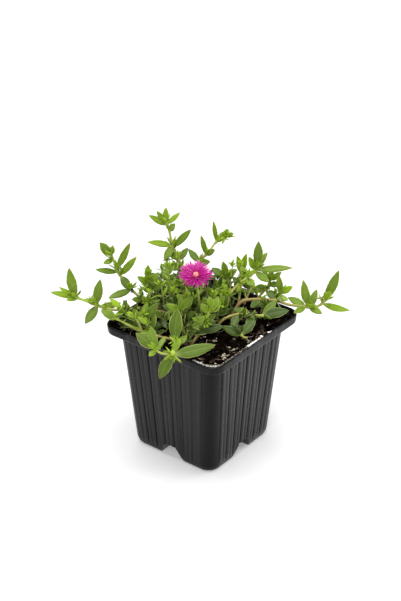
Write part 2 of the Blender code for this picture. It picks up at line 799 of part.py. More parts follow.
def soil_height(x, y):
    """Height of the soil at a place: a low mound with uneven lumps."""
    mound = 1.3 * MM * math.cos(x / (60.0 * MM)) * math.cos(y / (60.0 * MM))
    swell = 0.45 * MM * math.sin(x / (7.1 * MM) + 1.3) * math.sin(y / (6.3 * MM) + 0.4)
    lumps = 0.25 * MM * math.sin(x / (2.3 * MM) + 2.0 * math.sin(y / (5.0 * MM)))
    return SOIL_TOP - 0.6 * MM + mound + swell + lumps


def make_soil(roots, collection):
    """Block of potting mix with an uneven top and a plain hole for each stem."""
    builder = bmesh.new()
    bmesh.ops.create_grid(builder, x_segments=SOIL_CELLS, y_segments=SOIL_CELLS, size=SOIL_HALF)
    for vertex in builder.verts:
        vertex.co.z = soil_height(vertex.co.x, vertex.co.y)
    below = bmesh.ops.extrude_face_region(builder, geom=builder.faces[:])
    lowered = [item for item in below["geom"] if isinstance(item, bmesh.types.BMVert)]
    bmesh.ops.translate(builder, verts=lowered, vec=(0.0, 0.0, -1.2 * POT_HEIGHT))
    soil = object_from("soil", builder, collection)
    combine(soil, "INTERSECT", [loft("filling", inside_sections(GAP), collection)])
    cutters = both_arches(WALL + GAP, 2.0 * POT_WIDTH, collection)
    for place, radius in roots:
        low = soil_height(place.x, place.y) - HOLE_DEPTH - GAP
        wide = radius + HOLE_SLACK
        span = (low, POT_HEIGHT)
        cutters.append(upright_cylinder("hole", place.x, place.y, *span, wide, collection, HOLE_SIDES))
    combine(soil, "DIFFERENCE", cutters, "MANIFOLD")
    return soil


# Leaves and stems


def blade_width(share):
    """Share of a leaf's full width at a share of its length."""
    return math.sin(math.pi * share**0.9) ** 0.85 if 0.0 < share < 1.0 else 0.0


def bladed_sphere(base, tip, width, thickness, face, sides, rings):
    """Sphere drawn out into a blade with a flat upper face and a keel below."""
    axis = tip - base
    length = axis.length
    forward = axis.normalized()
    normal = (face - forward * face.dot(forward)).normalized()
    across = normal.cross(forward)
    corner = math.cos(math.pi / sides)
    flat = math.sin(math.pi / 2.0 - math.pi / sides)
    builder = bmesh.new()
    bmesh.ops.create_uvsphere(builder, u_segments=sides, v_segments=rings, radius=1.0)
    ring_angle = next(math.atan2(v.co.y, v.co.x) for v in builder.verts if abs(v.co.z) < 0.999)
    for vertex in builder.verts:
        share = 1.0 - math.acos(max(-1.0, min(1.0, vertex.co.z))) / math.pi
        angle = math.atan2(vertex.co.y, vertex.co.x) - ring_angle - math.pi / 2.0
        spread = blade_width(share)
        side = math.cos(angle) / math.cos(math.pi / 2.0 - math.pi / sides)
        depth = (math.sin(angle) - corner) / (1.0 + corner) if sides == 3 else math.sin(angle) * 0.5 / flat
        vertex.co = (
            base
            + forward * (length * share)
            + across * (width / 2.0 * spread * side)
            + normal * (thickness * spread**0.8 * depth + 0.3 * thickness * math.sin(math.pi * share))
        )
    return builder


def leaf_builder(base, tip, width, face):
    """Leaf as a mesh under construction: more rings on a large one."""
    large = (tip - base).length > LARGE_LEAF
    rings = LARGE_LEAF_RINGS if large else SMALL_LEAF_RINGS
    return bladed_sphere(base, tip, width, width * LEAF_THICKNESS, face, LEAF_SIDES, rings)


def smooth_route(points, steps):
    """Points along a smooth curve through a route's own points."""
    padded = [points[0]] + points + [points[-1] * 2.0 - points[-2]]
    route = [points[0]]
    for a, b, c, d in zip(padded, padded[1:], padded[2:], padded[3:]):
        for step in range(1, steps + 1):
            t = step / steps
            route.append(
                0.5
                * (
                    b * 2.0
                    + (c - a) * t
                    + (a * 2.0 - b * 5.0 + c * 4.0 - d) * t**2
                    + (b * 3.0 - a - c * 3.0 + d) * t**3
                )
            )
    return route


def tube(name, route, start_radius, end_radius, resolution, collection):
    """Round tapered tube along a route, as a closed mesh."""
    curve = bpy.data.curves.new(name, "CURVE")
    curve.dimensions = "3D"
    curve.bevel_depth = start_radius
    curve.bevel_resolution = resolution
    curve.use_fill_caps = True
    spline = curve.splines.new("POLY")
    spline.points.add(len(route) - 1)
    for index, (knot, point) in enumerate(zip(spline.points, route)):
        knot.co = (*point, 1.0)
        knot.radius = between(1.0, end_radius / start_radius, index / (len(route) - 1))
    holder = bpy.data.objects.new(name + "_curve", curve)
    collection.objects.link(holder)
    graph = bpy.context.evaluated_depsgraph_get()
    mesh = bpy.data.meshes.new_from_object(holder.evaluated_get(graph))
    bpy.data.objects.remove(holder, do_unlink=True)
    builder = bmesh.new()
    builder.from_mesh(mesh)
    bpy.data.meshes.remove(mesh)
    bmesh.ops.remove_doubles(builder, verts=builder.verts, dist=0.01 * MM)
    return object_from(name, builder, collection)


def rooted_route(place, points, steps):
    """Route that rises straight out of its hole in the soil and then follows its points."""
    surface = soil_height(place.x, place.y)
    foot = Vector((place.x, place.y, surface - HOLE_DEPTH))
    collar = Vector((place.x, place.y, surface + COLLAR))
    return [foot] + smooth_route([collar] + points, steps)


def nearest_on(routes, point):
    """Closest point to a given one on any of several routes, a little short of their ends."""
    best = None
    for route in routes:
        last = route[-1] + (route[-2] - route[-1]).normalized() * END_INSET
        inner = route[:-1] + [last]
        for start, end in zip(inner, inner[1:]):
            run = end - start
            share = max(0.0, min(1.0, (point - start).dot(run) / run.length_squared))
            place = start + run * share
            if best is None or (place - point).length < (best - point).length:
                best = place
    return best


# Room between the shoots


def outline_tree(builder, clearance):
    """Search tree of a mesh that is swollen by a clearance."""
    builder.normal_update()
    points = [vertex.co + vertex.normal * clearance for vertex in builder.verts]
    faces = [[vertex.index for vertex in face.verts] for face in builder.faces]
    return BVHTree.FromPolygons(points, faces)


def object_tree(item, clearance=0.0):
    """Search tree of an object's mesh."""
    builder = bmesh.new()
    builder.from_mesh(item.data)
    tree = outline_tree(builder, clearance)
    builder.free()
    return tree


def is_clear(tree, others):
    """Whether a swollen piece touches none of the others."""
    return not any(tree.overlap(other) for other in others)


def fitting_leaf(base, tips, width, face, others):
    """First of several tips at which a leaf clears its neighbours, smaller if need be."""
    for scale in LEAF_SCALES:
        for tip in tips:
            builder = leaf_builder(base, between(base, tip, scale), width * scale, face)
            if is_clear(outline_tree(builder, CLEARANCE), others):
                return builder
            builder.free()
    return None


class Shoot:
    """A leafy stem: tubes and leaves that are joined into one solid."""

    def __init__(self, name, collection):
        self.name = name
        self.collection = collection
        self.routes = []
        self.pieces = []

    def add_tube(self, route, start_radius, end_radius, resolution):
        """Add a stem or a branch."""
        self.routes.append(route)
        self.pieces.append(tube(self.name, route, start_radius, end_radius, resolution, self.collection))

    def add_leaf(self, builder):
        """Add a leaf."""
        self.pieces.append(object_from("leaf", builder, self.collection))

    def join(self, material):
        """Fuse the pieces and return the object."""
        body = self.pieces[0]
        body.name = self.name
        if len(self.pieces) > 1:
            combine(body, "UNION", self.pieces[1:])
        finish(body, material, 40.0)
        return body


def placed_shoot(name, plan, obstacles, material, collection):
    """Build a shoot whose stem and leaves are placed by hand."""
    place = seen((*plan["root"], 0.0))
    radius = plan["radius"] * MM
    shoot = Shoot(name, collection)
    stem = rooted_route(place, [seen(point) for point in plan["stem"]], 1)
    shoot.add_tube(stem, radius, radius * STEM_TAPER, 1)
    if "branch" in plan:
        branch = smooth_route([seen(point) for point in plan["branch"]], 1)
        branch[0] = nearest_on([stem], branch[0])
        start_share, end_share = BRANCH_RADII
        shoot.add_tube(branch, radius * start_share, radius * end_share, 1)
    for base, tip, width in plan["leaves"]:
        start = nearest_on(shoot.routes, seen(base))
        tips = [seen(tip) + TO_ONLOOKER * shift for shift in LEAF_SHIFTS]
        builder = fitting_leaf(start, tips, width * MM, LEAF_FACE, obstacles)
        if builder is not None:
            shoot.add_leaf(builder)
    return shoot.join(material)


def filler_leaves(shoot, route, draw, obstacles):
    """Pairs of leaves along a short stem, each pair turned a quarter from the last."""
    first = len(shoot.pieces)
    length = sum((b - a).length for a, b in zip(route, route[1:]))
    count = max(1, round(length / FILLER_NODE_STEP))
    turn = draw.uniform(0.0, math.pi)
    lower_leaves = []
    for node in range(count + 1):
        share = between(0.3, 1.0, node / count)
        spot = share * (len(route) - 1)
        index = min(int(spot), len(route) - 2)
        start = between(route[index], route[index + 1], min(spot - index, FILLER_LAST))
        rise = (route[index + 1] - route[index]).normalized()
        side = rise.cross(UP if abs(rise.z) < 0.9 else RIGHT).normalized()
        spread = math.radians(between(*FILLER_LEAF_SPREAD, share))
        size = draw.uniform(*FILLER_LEAF_LENGTH) * between(1.05, 0.8, share)
        for half in (0.0, math.pi):
            tips = []
            for change in FILLER_TURNS:
                angle = turn + half + change
                out = side * math.cos(angle) + rise.cross(side) * math.sin(angle)
                heading = rise * math.cos(spread) + out * math.sin(spread)
                tips.append(start + heading * size)
            face = rise + UP * 0.5
            builder = fitting_leaf(start, tips, size * FILLER_LEAF_WIDTH, face, obstacles + lower_leaves)
            if builder is not None:
                shoot.add_leaf(builder)
        lower_leaves = [object_tree(leaf) for leaf in shoot.pieces[first:]]
        turn += math.pi / 2.0


def filler_points(root, turn, draw):
    """Points of a short stem that leans to one side of its root and then rises."""
    outward = Vector((root.x, root.y, 0.0)) / WALL_TOP_HALF
    lean = outward * FILLER_FAN + Vector((math.cos(turn), math.sin(turn), 0.0)) * draw.uniform(*FILLER_LEAN)
    heading = (UP + lean).normalized()
    length = draw.uniform(*FILLER_LENGTH)
    return [root + heading * length * share + UP * length * 0.15 * share**2 for share in (0.5, 1.0)]


def height_limit(point):
    """Height that the short shoots stay under: lower towards the far side."""
    far = max(0.0, -point.dot(NEAR) - FILLER_SLOPE_START)
    return FILLER_TOP - FILLER_SLOPE * far


def clear_stem(route, obstacles, collection):
    """Whether a short stem above the soil touches nothing that stands already."""
    stem = tube("trial", route, FILLER_RADIUS, FILLER_RADIUS * FILLER_TAPER, 0, collection)
    clear = is_clear(object_tree(stem, CLEARANCE), obstacles)
    bpy.data.objects.remove(stem, do_unlink=True)
    return clear


def filler_clump(name, place, draw, obstacles, material, collection):
    """Short stems from one root, with their leaves, or nothing where there is no room."""
    shoot = Shoot(name, collection)
    collar = Vector((place.x, place.y, soil_height(place.x, place.y) + COLLAR))
    start_turn = draw.uniform(0.0, math.tau)
    stems_before = []
    for index in range(FILLER_STEMS):
        points = filler_points(collar, start_turn + index * math.tau / FILLER_STEMS, draw)
        above = [collar] + points
        if points[-1].z > height_limit(points[-1]) or not clear_stem(above, obstacles, collection):
            continue
        route = above if shoot.pieces else rooted_route(place, points, 1)
        first = len(shoot.pieces)
        shoot.add_tube(route, FILLER_RADIUS, FILLER_RADIUS * FILLER_TAPER, 0)
        filler_leaves(shoot, above, draw, obstacles + stems_before)
        stems_before += [object_tree(leaf) for leaf in shoot.pieces[first + 1 :]]
    return shoot.join(material) if shoot.pieces else None


def filler_places(draw):
    """Loose grid of places for roots, clear of the bare corner of the soil."""
    count = int(2.0 * FILLER_REACH / FILLER_GRID) + 1
    first = -(count - 1) / 2.0 * FILLER_GRID
    for row in range(count):
        for column in range(count):
            scatter = Vector((draw.uniform(-1.0, 1.0), draw.uniform(-1.0, 1.0), 0.0)) * FILLER_SCATTER
            place = Vector((first + column * FILLER_GRID, first + row * FILLER_GRID, 0.0)) + scatter
            bare = place.dot(RIGHT) > BARE_CORNER[0] * MM and place.dot(NEAR) > BARE_CORNER[1] * MM
            if not bare and place.dot(RIGHT) < FILLER_RIGHT_END:
                yield place


def make_fillers(roots, obstacles, material, collection):
    """Clumps of short shoots that fill the middle of the plant."""
    draw = random.Random(FILLER_SEED)
    for index, place in enumerate(filler_places(draw)):
        if any((place - other).length < FILLER_SPACING for other, _ in roots):
            continue
        name = "shoot_middle_%02d" % (index + 1)
        body = filler_clump(name, place, draw, obstacles, material, collection)
        if body is not None:
            roots.append((place, FILLER_RADIUS))
            obstacles.append(object_tree(body))


# Bloom


def bloom_frame():
    """Centre of the bloom, the way it faces, and two directions across it."""
    centre = seen(BLOOM_CENTRE)
    facing = UP * math.cos(BLOOM_TILT) + NEAR * math.sin(BLOOM_TILT)
    across = RIGHT
    return centre, facing, across, facing.cross(across)


def place_on_bloom(builder, height):
    """Set a shape that was made about +Z on the bloom's axis, at a height along it."""
    centre, facing, across, upward = bloom_frame()
    for vertex in builder.verts:
        x, y, z = vertex.co
        vertex.co = centre + across * x + upward * y + facing * (z + height)


def round_block(name, low_radius, high_radius, depth, height, sides, collection):
    """Turned block on the bloom's axis."""
    builder = bmesh.new()
    bmesh.ops.create_cone(
        builder, cap_ends=True, segments=sides, radius1=low_radius, radius2=high_radius, depth=depth
    )
    place_on_bloom(builder, height)
    return object_from(name, builder, collection)


def bloom_direction(turn, rise):
    """Direction away from the bloom's axis, raised by an angle."""
    _, facing, across, upward = bloom_frame()
    outward = across * math.cos(turn) + upward * math.sin(turn)
    return outward, outward * math.cos(rise) + facing * math.sin(rise)


def make_petals(material, collection):
    """Rows of narrow petals round one disc."""
    centre, facing, _, _ = bloom_frame()
    disc = round_block("flower_petals", DISC_RADIUS * 0.8, DISC_RADIUS, DISC_THICKNESS, 0.0, 16, collection)
    petals = []
    for row, (count, reach, rise, turn) in enumerate(PETAL_ROWS):
        for index in range(count):
            angle = (index + turn) * math.tau / count
            outward, heading = bloom_direction(angle, math.radians(rise))
            base = centre + outward * PETAL_START + facing * (0.1 + 0.12 * row) * MM
            tip = base + heading * (BLOOM_RADIUS * reach - PETAL_START)
            builder = bladed_sphere(base, tip, PETAL_WIDTH, PETAL_THICKNESS, facing, 3, 4)
            petals.append(object_from("petal", builder, collection))
    combine(disc, "UNION", petals)
    finish(disc, material, 40.0)
    return disc


def make_knob(material, collection):
    """Low round knob of stamens in the middle of the bloom."""
    builder = bmesh.new()
    bmesh.ops.create_uvsphere(builder, u_segments=10, v_segments=6, radius=KNOB_RADIUS)
    for vertex in builder.verts:
        vertex.co.z = max(vertex.co.z, -0.4 * MM) * 0.9
    place_on_bloom(builder, DISC_THICKNESS / 2.0 + GAP + 0.36 * MM)
    bmesh.ops.remove_doubles(builder, verts=builder.verts, dist=0.01 * MM)
    knob = object_from("flower_centre", builder, collection)
    finish(knob, material, 60.0)
    return knob


def make_stalk(material, collection):
    """Flower stalk with its calyx, sepals and a pair of small leaves."""
    centre, facing, _, _ = bloom_frame()
    place = seen((*STALK_ROOT, 0.0))
    calyx_top = -DISC_THICKNESS / 2.0 - GAP
    neck = centre + facing * (calyx_top - CALYX_DEPTH + 0.6 * MM)
    points = [seen(point) for point in STALK_POINTS] + [neck]
    shoot = Shoot("flower_stalk", collection)
    shoot.add_tube(rooted_route(place, points, 2), *STALK_RADII, 1)
    middle = calyx_top - CALYX_DEPTH / 2.0
    shoot.pieces.append(round_block("calyx", *CALYX_RADII, CALYX_DEPTH, middle, 10, collection))
    for index in range(SEPALS):
        outward, heading = bloom_direction((index + 0.3) * math.tau / SEPALS, SEPAL_DROOP)
        base = centre + facing * (calyx_top - 2.2 * MM) + outward * 1.2 * MM
        tip = base + heading * SEPAL_LENGTH
        shoot.add_leaf(bladed_sphere(base, tip, SEPAL_WIDTH, SEPAL_THICKNESS, facing, 3, 4))
    for tip in STALK_LEAF_TIPS:
        start = nearest_on(shoot.routes, seen(STALK_NODE))
        shoot.add_leaf(leaf_builder(start, seen(tip), STALK_LEAF_WIDTH, TO_ONLOOKER))
    return shoot.join(material), (place, STALK_RADII[0])


def main():
    """Build every solid of the part."""
    clear_scene()
    collection = new_collection("potted_ice_plant")
    leaf_green = plain_material("leaf_tissue", LEAF_COLOUR, 0.45)
    pot = make_pot(collection)
    finish(pot, plain_material("black_plastic", POT_COLOUR, 0.42), 35.0)
    stalk, stalk_root = make_stalk(plain_material("stalk_tissue", STALK_COLOUR, 0.45), collection)
    petals = make_petals(plain_material("petal_tissue", PETAL_COLOUR, 0.5), collection)
    knob = make_knob(plain_material("stamens", KNOB_COLOUR, 0.6), collection)
    roots = [stalk_root]
    soil = make_soil([], collection)
    obstacles = [object_tree(item) for item in (soil, pot, stalk, petals, knob)]
    bpy.data.objects.remove(soil, do_unlink=True)
    for name, plan in PLACED_SHOOTS.items():
        body = placed_shoot(name, plan, obstacles, leaf_green, collection)
        roots.append((seen((*plan["root"], 0.0)), plan["radius"] * MM))
        obstacles.append(object_tree(body))
    make_fillers(roots, obstacles, leaf_green, collection)
    soil = make_soil(roots, collection)
    finish(soil, plain_material("potting_mix", SOIL_COLOUR, 0.95), 50.0)


main()
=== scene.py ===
"""Looks of the potted ice plant: fine leaves, bloom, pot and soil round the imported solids."""

import math
import random
from collections import namedtuple
from itertools import product

import bmesh
import bpy
from mathutils import Matrix, Vector, noise
from mathutils.kdtree import KDTree


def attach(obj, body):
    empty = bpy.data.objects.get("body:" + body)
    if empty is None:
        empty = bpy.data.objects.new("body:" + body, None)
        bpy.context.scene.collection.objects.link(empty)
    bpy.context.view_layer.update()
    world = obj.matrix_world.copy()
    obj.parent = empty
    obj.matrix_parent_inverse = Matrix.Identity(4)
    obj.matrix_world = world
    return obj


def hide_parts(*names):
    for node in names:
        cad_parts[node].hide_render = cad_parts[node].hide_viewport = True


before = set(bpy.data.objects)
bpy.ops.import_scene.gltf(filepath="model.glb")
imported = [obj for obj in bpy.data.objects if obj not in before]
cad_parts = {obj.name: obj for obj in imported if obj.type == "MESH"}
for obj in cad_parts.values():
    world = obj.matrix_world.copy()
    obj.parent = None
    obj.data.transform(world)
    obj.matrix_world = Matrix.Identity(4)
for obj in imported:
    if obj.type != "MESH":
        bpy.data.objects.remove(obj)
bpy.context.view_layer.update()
MM = 0.001

# Onlooker: the way the photograph looks at the plant
ONLOOKER_TURN = math.radians(38.0)
ONLOOKER_PITCH = math.radians(29.72)
RIGHT = Vector((math.cos(ONLOOKER_TURN), math.sin(ONLOOKER_TURN), 0.0))
NEAR = Vector((math.sin(ONLOOKER_TURN), -math.cos(ONLOOKER_TURN), 0.0))
UP = Vector((0.0, 0.0, 1.0))
TO_ONLOOKER = NEAR * math.cos(ONLOOKER_PITCH) + UP * math.sin(ONLOOKER_PITCH)
AIM_RIGHT = -1.18 * MM
AIM_UP = 101.66 * MM
CAMERA_DISTANCE = 996.2 * MM
LENS = 95.84
SENSOR = 36.0

# Pot
POT_WIDTH = 90.0 * MM
POT_HEIGHT = 89.0 * MM
WALL = 1.3 * MM
LIP_DROP = 5.5 * MM
LIP_WALL = 1.6 * MM
LIP_CORNER = 9.0 * MM
WALL_TOP_HALF = 38.5 * MM
WALL_TOP_CORNER = 8.2 * MM
WALL_FOOT_HALF = 32.4 * MM
WALL_FOOT_CORNER = 7.4 * MM
FOOT_HEIGHT = 7.4 * MM
FOOT_HALF = 29.5 * MM
FOOT_CORNER = 7.2 * MM
CORNER_COLUMNS = 14
RIB_COUNT = 7
RIB_PITCH = 8.8 * MM
RIB_PROUD = 0.7 * MM
RIB_BOTTOM = 3.0 * MM
RIB_TOP = 82.6 * MM
RIB_FADE = 1.2 * MM
RIB_RUN_OUT = 5.6 * MM
RIB_WEAR = 0.5
# places across a rib, and how proud of the wall it is at each
RIB_PROFILE = (
    (-3.95, 0.0), (-3.8, 0.55), (-3.45, 0.8), (-2.4, 0.95), (-0.9, 0.97), (-0.35, 0.72),
    (0.35, 0.72), (0.9, 1.0), (2.4, 0.95), (3.45, 0.8), (3.8, 0.55), (3.95, 0.0),
)
# quarter of the pot, counted from +X, whose ribs are worn towards the near corner
RIB_WORN_SIDE = 3
CHANNEL_WIDTH = 14.4 * MM
CHANNEL_HEIGHT = 10.2 * MM
CHANNEL_STEPS = 36
CHANNEL_SQUARE = 0.7
CHANNEL_FLARE = (2.5 * MM, 3.4 * MM)
FLARE_HEIGHT = 6.5 * MM
DRAIN_RADIUS = 2.4 * MM
DRAIN_REACH = 17.0 * MM
DRAIN_SPAN = (1.0 * MM, 14.0 * MM)
DRAIN_PLACES = ((0, 0), (1, 0), (-1, 0), (0, 1), (0, -1))

# Potting mix
GAP = 0.3 * MM
SOIL_TOP = 86.1 * MM
SOIL_HALF = 45.0 * MM
SOIL_CELLS = 130
HOLE_DEPTH = 5.0 * MM
BARK_CHIPS = 380
FIBRES = 90
# drifts of grains: right and near in millimetres, how many, how far they spread, and their size
PERLITE_DRIFTS = ((43.0, 14.0, 4, 1.2, 1.4), (36.0, 20.0, 3, 1.2, 1.3), (0.0, 0.0, 14, 22.0, 0.7))
# banks of pale grit along the rim, partly a painted highlight on its inner edge: start and end in millimetres
# past its near corner, how many grains, their size, and how grey they are
RIM_BANKS = ((-9.0, 9.0, 90, 0.85, 0.84), (9.0, 37.0, 70, 0.5, 1.0), (37.5, 50.5, 36, 1.05, 0.42))
# heaps of chips: right and near in millimetres, how many, how far they spread, how pale they are
CHIP_HEAPS = (
    (17.5, 35.5, 13, 1.4, 0.88), (13.0, 42.5, 11, 1.4, 0.9), (27.0, 25.0, 5, 2.0, 0.85),
    (3.0, 33.0, 5, 2.0, 0.8), (37.0, 16.0, 22, 2.6, 0.76), (33.0, 22.0, 10, 2.0, 0.76),
)

# Stems and leaves, as in the solids
STEM_TAPER = 0.65
BRANCH_RADII = (0.7, 0.55)
COLLAR = 1.0 * MM
END_INSET = 0.7 * MM
LEAF_FACE = TO_ONLOOKER + UP * 0.4
LEAF_SCALES = (1.0, 0.8)
LEAF_SHIFTS = tuple(shift * MM for shift in (0, 2, -2, 4, -4, 6, -6, 8, -8))
FILLER_SEED = 8
FILLER_GRID = 12.0 * MM
FILLER_SCATTER = 3.0 * MM
FILLER_SPACING = 4.5 * MM
FILLER_STEMS = 3
FILLER_RADIUS = 0.8 * MM
FILLER_TAPER = 0.7
FILLER_LENGTH = (11.0 * MM, 23.0 * MM)
FILLER_LEAN = (0.6, 1.7)
FILLER_FAN = 0.3
FILLER_NODE_STEP = 7.0 * MM
FILLER_LAST = 0.92
FILLER_LEAF_LENGTH = (9.0 * MM, 13.0 * MM)
FILLER_LEAF_WIDTH = 0.38
FILLER_LEAF_SPREAD = (80.0, 38.0)
FILLER_TURNS = (0.0, 0.35, -0.35, 0.8, -0.8, 1.2)
FILLER_REACH = 31.5 * MM
FILLER_TOP = 106.0 * MM
FILLER_SLOPE_START = 24.0 * MM
FILLER_SLOPE = 0.6
BARE_CORNER = (-4.0, 8.0)
FILLER_RIGHT_END = 19.0 * MM

# How the fine pieces are drawn over the solids
SAME_PLACE = 0.06 * MM
ROUTE_STEPS = 6
STEM_SIDES = 10
# rings along a leaf and points round it
LEAF_MESH = (16, 12)
SMALL_LEAF_MESH = (8, 8)
SMALL_LEAF = 7.0 * MM
# half heights of a leaf's section above and below its edges, as shares of its width
LEAF_CROWN = 0.17
LEAF_KEEL = 0.27
LEAF_RAGGED = 0.045
SHOOT_LEAF_FULLER = 1.12
CLUMP_LEAF_FULLER = 1.1
# angles in degrees past which an edge is drawn sharp
GROWN_SHARP = 60.0
POT_SHARP = 38.0
SOIL_SHARP = 80.0
# painted shade on leaves: the height and reach of the plant's shaded middle, the tone left to a leaf there,
# and the share of it a broad leaf takes
SHELTER_HEIGHT = (90.0 * MM, 111.0 * MM)
SHELTER_REACH = (33.0 * MM, 45.0 * MM)
PAINTED_SHADE_TONE = 0.04
NARROW_LEAF = 4.0 * MM
BROAD_LEAF = 6.2 * MM
BROAD_PAINTED_SHADE = 0.55
# share that a leaf points upward, from where it starts to where it ends to count as upright: a broad leaf is
# painted older and darker the flatter it lies, as painted shade against the overhead light
UPRIGHT = (0.45, 0.8)
BUD_LEAVES = 6
BUD_LENGTH = (2.6 * MM, 4.6 * MM)
BUD_LEAF_WIDTH = 0.3
SIDE_LENGTH = (3.2 * MM, 7.5 * MM)
SIDE_LEAVES = 5
SIDE_LEAF_WIDTH = 0.32
GOLDEN_ANGLE = math.pi * (3.0 - math.sqrt(5.0))
LEAF_SLOT = 0
STEM_SLOT = 1

# Undergrowth: thin short stems with small leaves between the main ones
UNDER_SEED = 5
UNDER_TRIES = 70
UNDER_REACH = 36.0 * MM
UNDER_RADIUS = 0.55 * MM
UNDER_LENGTH = (8.0 * MM, 20.0 * MM)
UNDER_LEAN = (0.4, 1.7)
UNDER_LEAF = (6.5 * MM, 12.5 * MM)
UNDER_LEAF_WIDTH = 0.37
UNDER_NODE_STEP = 5.4 * MM
UNDER_TURNS = (0.0, 0.5, -0.5, 1.0, -1.0)

# Sprigs: short thin shoots that end in a tuft of small bright leaves, at listed places
SPRIG_REACH = 9.0 * MM
SPRIG_RADII = (0.5 * MM, 0.36 * MM)
SPRIG_LEAF = (5.5 * MM, 9.0 * MM)
SPRIG_LEAF_WIDTH = 0.3
TUFT_LEAVES = 11
TUFT_LENGTH = (3.0 * MM, 5.2 * MM)
# right, near and up of each tuft in millimetres, and its size
SPRIGS = (
    (-40, 15.7, 97, 0.8), (-47, 10.8, 97, 0.8), (-36, 19.9, 103, 0.9), (-34, 6.3, 103, 1.0),
    (2, 29.7, 102, 1.0), (-3, 29.5, 104, 0.9), (7, 1.1, 106, 1.0), (10, 9.8, 105, 0.9), (13, -2.4, 105, 1.0),
    (-16, 48.3, 103, 0.7), (-28, 50.5, 98, 0.6), (22, -11.1, 102, 0.9), (27, -13.3, 100, 0.8),
    (41, -0.8, 96, 0.9), (51, -17.7, 99, 0.8), (46, -14.1, 100, 0.8), (14, -7.8, 106, 0.9),
    (4, 8.6, 105, 0.9), (-22, -15.8, 118, 1.0), (-34, -14.0, 114, 1.0), (19, -22.2, 115, 0.9),
    (24, -19.5, 116, 0.9), (-26, -5.8, 110, 1.0), (-18, -3.0, 107, 0.9), (-10, 2.3, 106, 0.9),
    (-38, -6.5, 106, 1.0), (-33, -0.9, 106, 1.0), (-19, -33, 121, 0.8), (-22, -31, 114, 0.9),
    (-15, -31, 117, 0.9), (-26, -30, 108, 0.9), (-17, -30, 111, 0.9), (2, -34, 119, 0.7), (15, -41, 126, 0.8),
    (-60, -21, 125, 0.8), (-54, -18, 117, 0.6), (-44, -12, 105, 0.8), (-38, -9, 100, 0.8), (-67, 3, 103, 0.7),
    (-81, 4, 109, 0.8), (34, -18, 118, 0.8), (29, -13, 112, 0.7), (24, -9, 109, 0.8), (67, -7, 96, 0.7),
    (77, -6, 102, 0.7),
)

# Bloom
BLOOM_CENTRE = (-4.0, 5.0, 122.0)
BLOOM_TILT = math.radians(19.0)
BLOOM_RADIUS = 11.6 * MM
DISC_THICKNESS = 1.2 * MM
# rows of petals: how many, reach as a share of the bloom's radius, rise in degrees
PETAL_ROWS = ((46, 1.0, 4.0), (44, 0.96, 12.0), (38, 0.88, 22.0), (28, 0.74, 34.0), (14, 0.52, 48.0))
PETAL_WIDTH = 0.85 * MM
PETAL_THICKNESS = 0.22 * MM
# points round a petal's section: half widths across it and thicknesses out of it
PETAL_SECTION = ((1.0, 0.0), (0.5, 0.35), (0.0, 0.15), (-0.5, 0.35), (-1.0, 0.0), (-0.4, -0.6), (0.4, -0.6))
PETAL_RINGS = 9
PETAL_START = 1.6 * MM
KNOB_RADIUS = 1.5 * MM
ANTHERS = 90
STALK_ROOT = (-2.0, 3.0)
STALK_POINTS = ((-1.5, 3.0, 97.0), (-2.5, 3.4, 106.0))
STALK_RADII = (0.95 * MM, 0.8 * MM)
STALK_NODE = (-2.0, 3.0, 100.0)
STALK_LEAF_TIPS = ((-9.0, 6.0, 107.0), (4.0, 7.0, 106.0))
STALK_LEAF_WIDTH = 3.4 * MM
CALYX_DEPTH = 4.6 * MM
CALYX_FLUTE = 0.05
SEPALS = 5
SEPAL_LENGTH = 7.0 * MM
SEPAL_WIDTH = 2.6 * MM
SEPAL_DROOP = math.radians(-14.0)
# profiles of round parts: shares of the length, and radii in millimetres
BUTTON_PROFILE = ((0.03125, 2.4), (0.3125, 2.9), (0.6875, 2.9), (0.9375, 2.2))
ANTHER_PROFILE = ((0.1, 0.2), (0.6, 0.2), (0.72, 0.3), (0.86, 0.36), (0.96, 0.24))
CALYX_PROFILE = ((0.04, 0.9), (0.25, 1.5), (0.5, 2.3), (0.75, 3.0), (0.93, 3.3), (1.0, 3.0))

# Studio: right, near and up of each light in millimetres, its power and its size in metres
LIGHTS = {
    "key": ((-160.0, -150.0, 2400.0), 78.0, 1.8),
    "front": ((-300.0, 1400.0, 1200.0), 14.0, 0.8),
    "side": ((1000.0, -150.0, 300.0), 12.0, 0.9),
}
LIGHT_AIM = UP * 0.08
WORLD_LIGHT = 0.2
FLOOR_REACH = 6.0
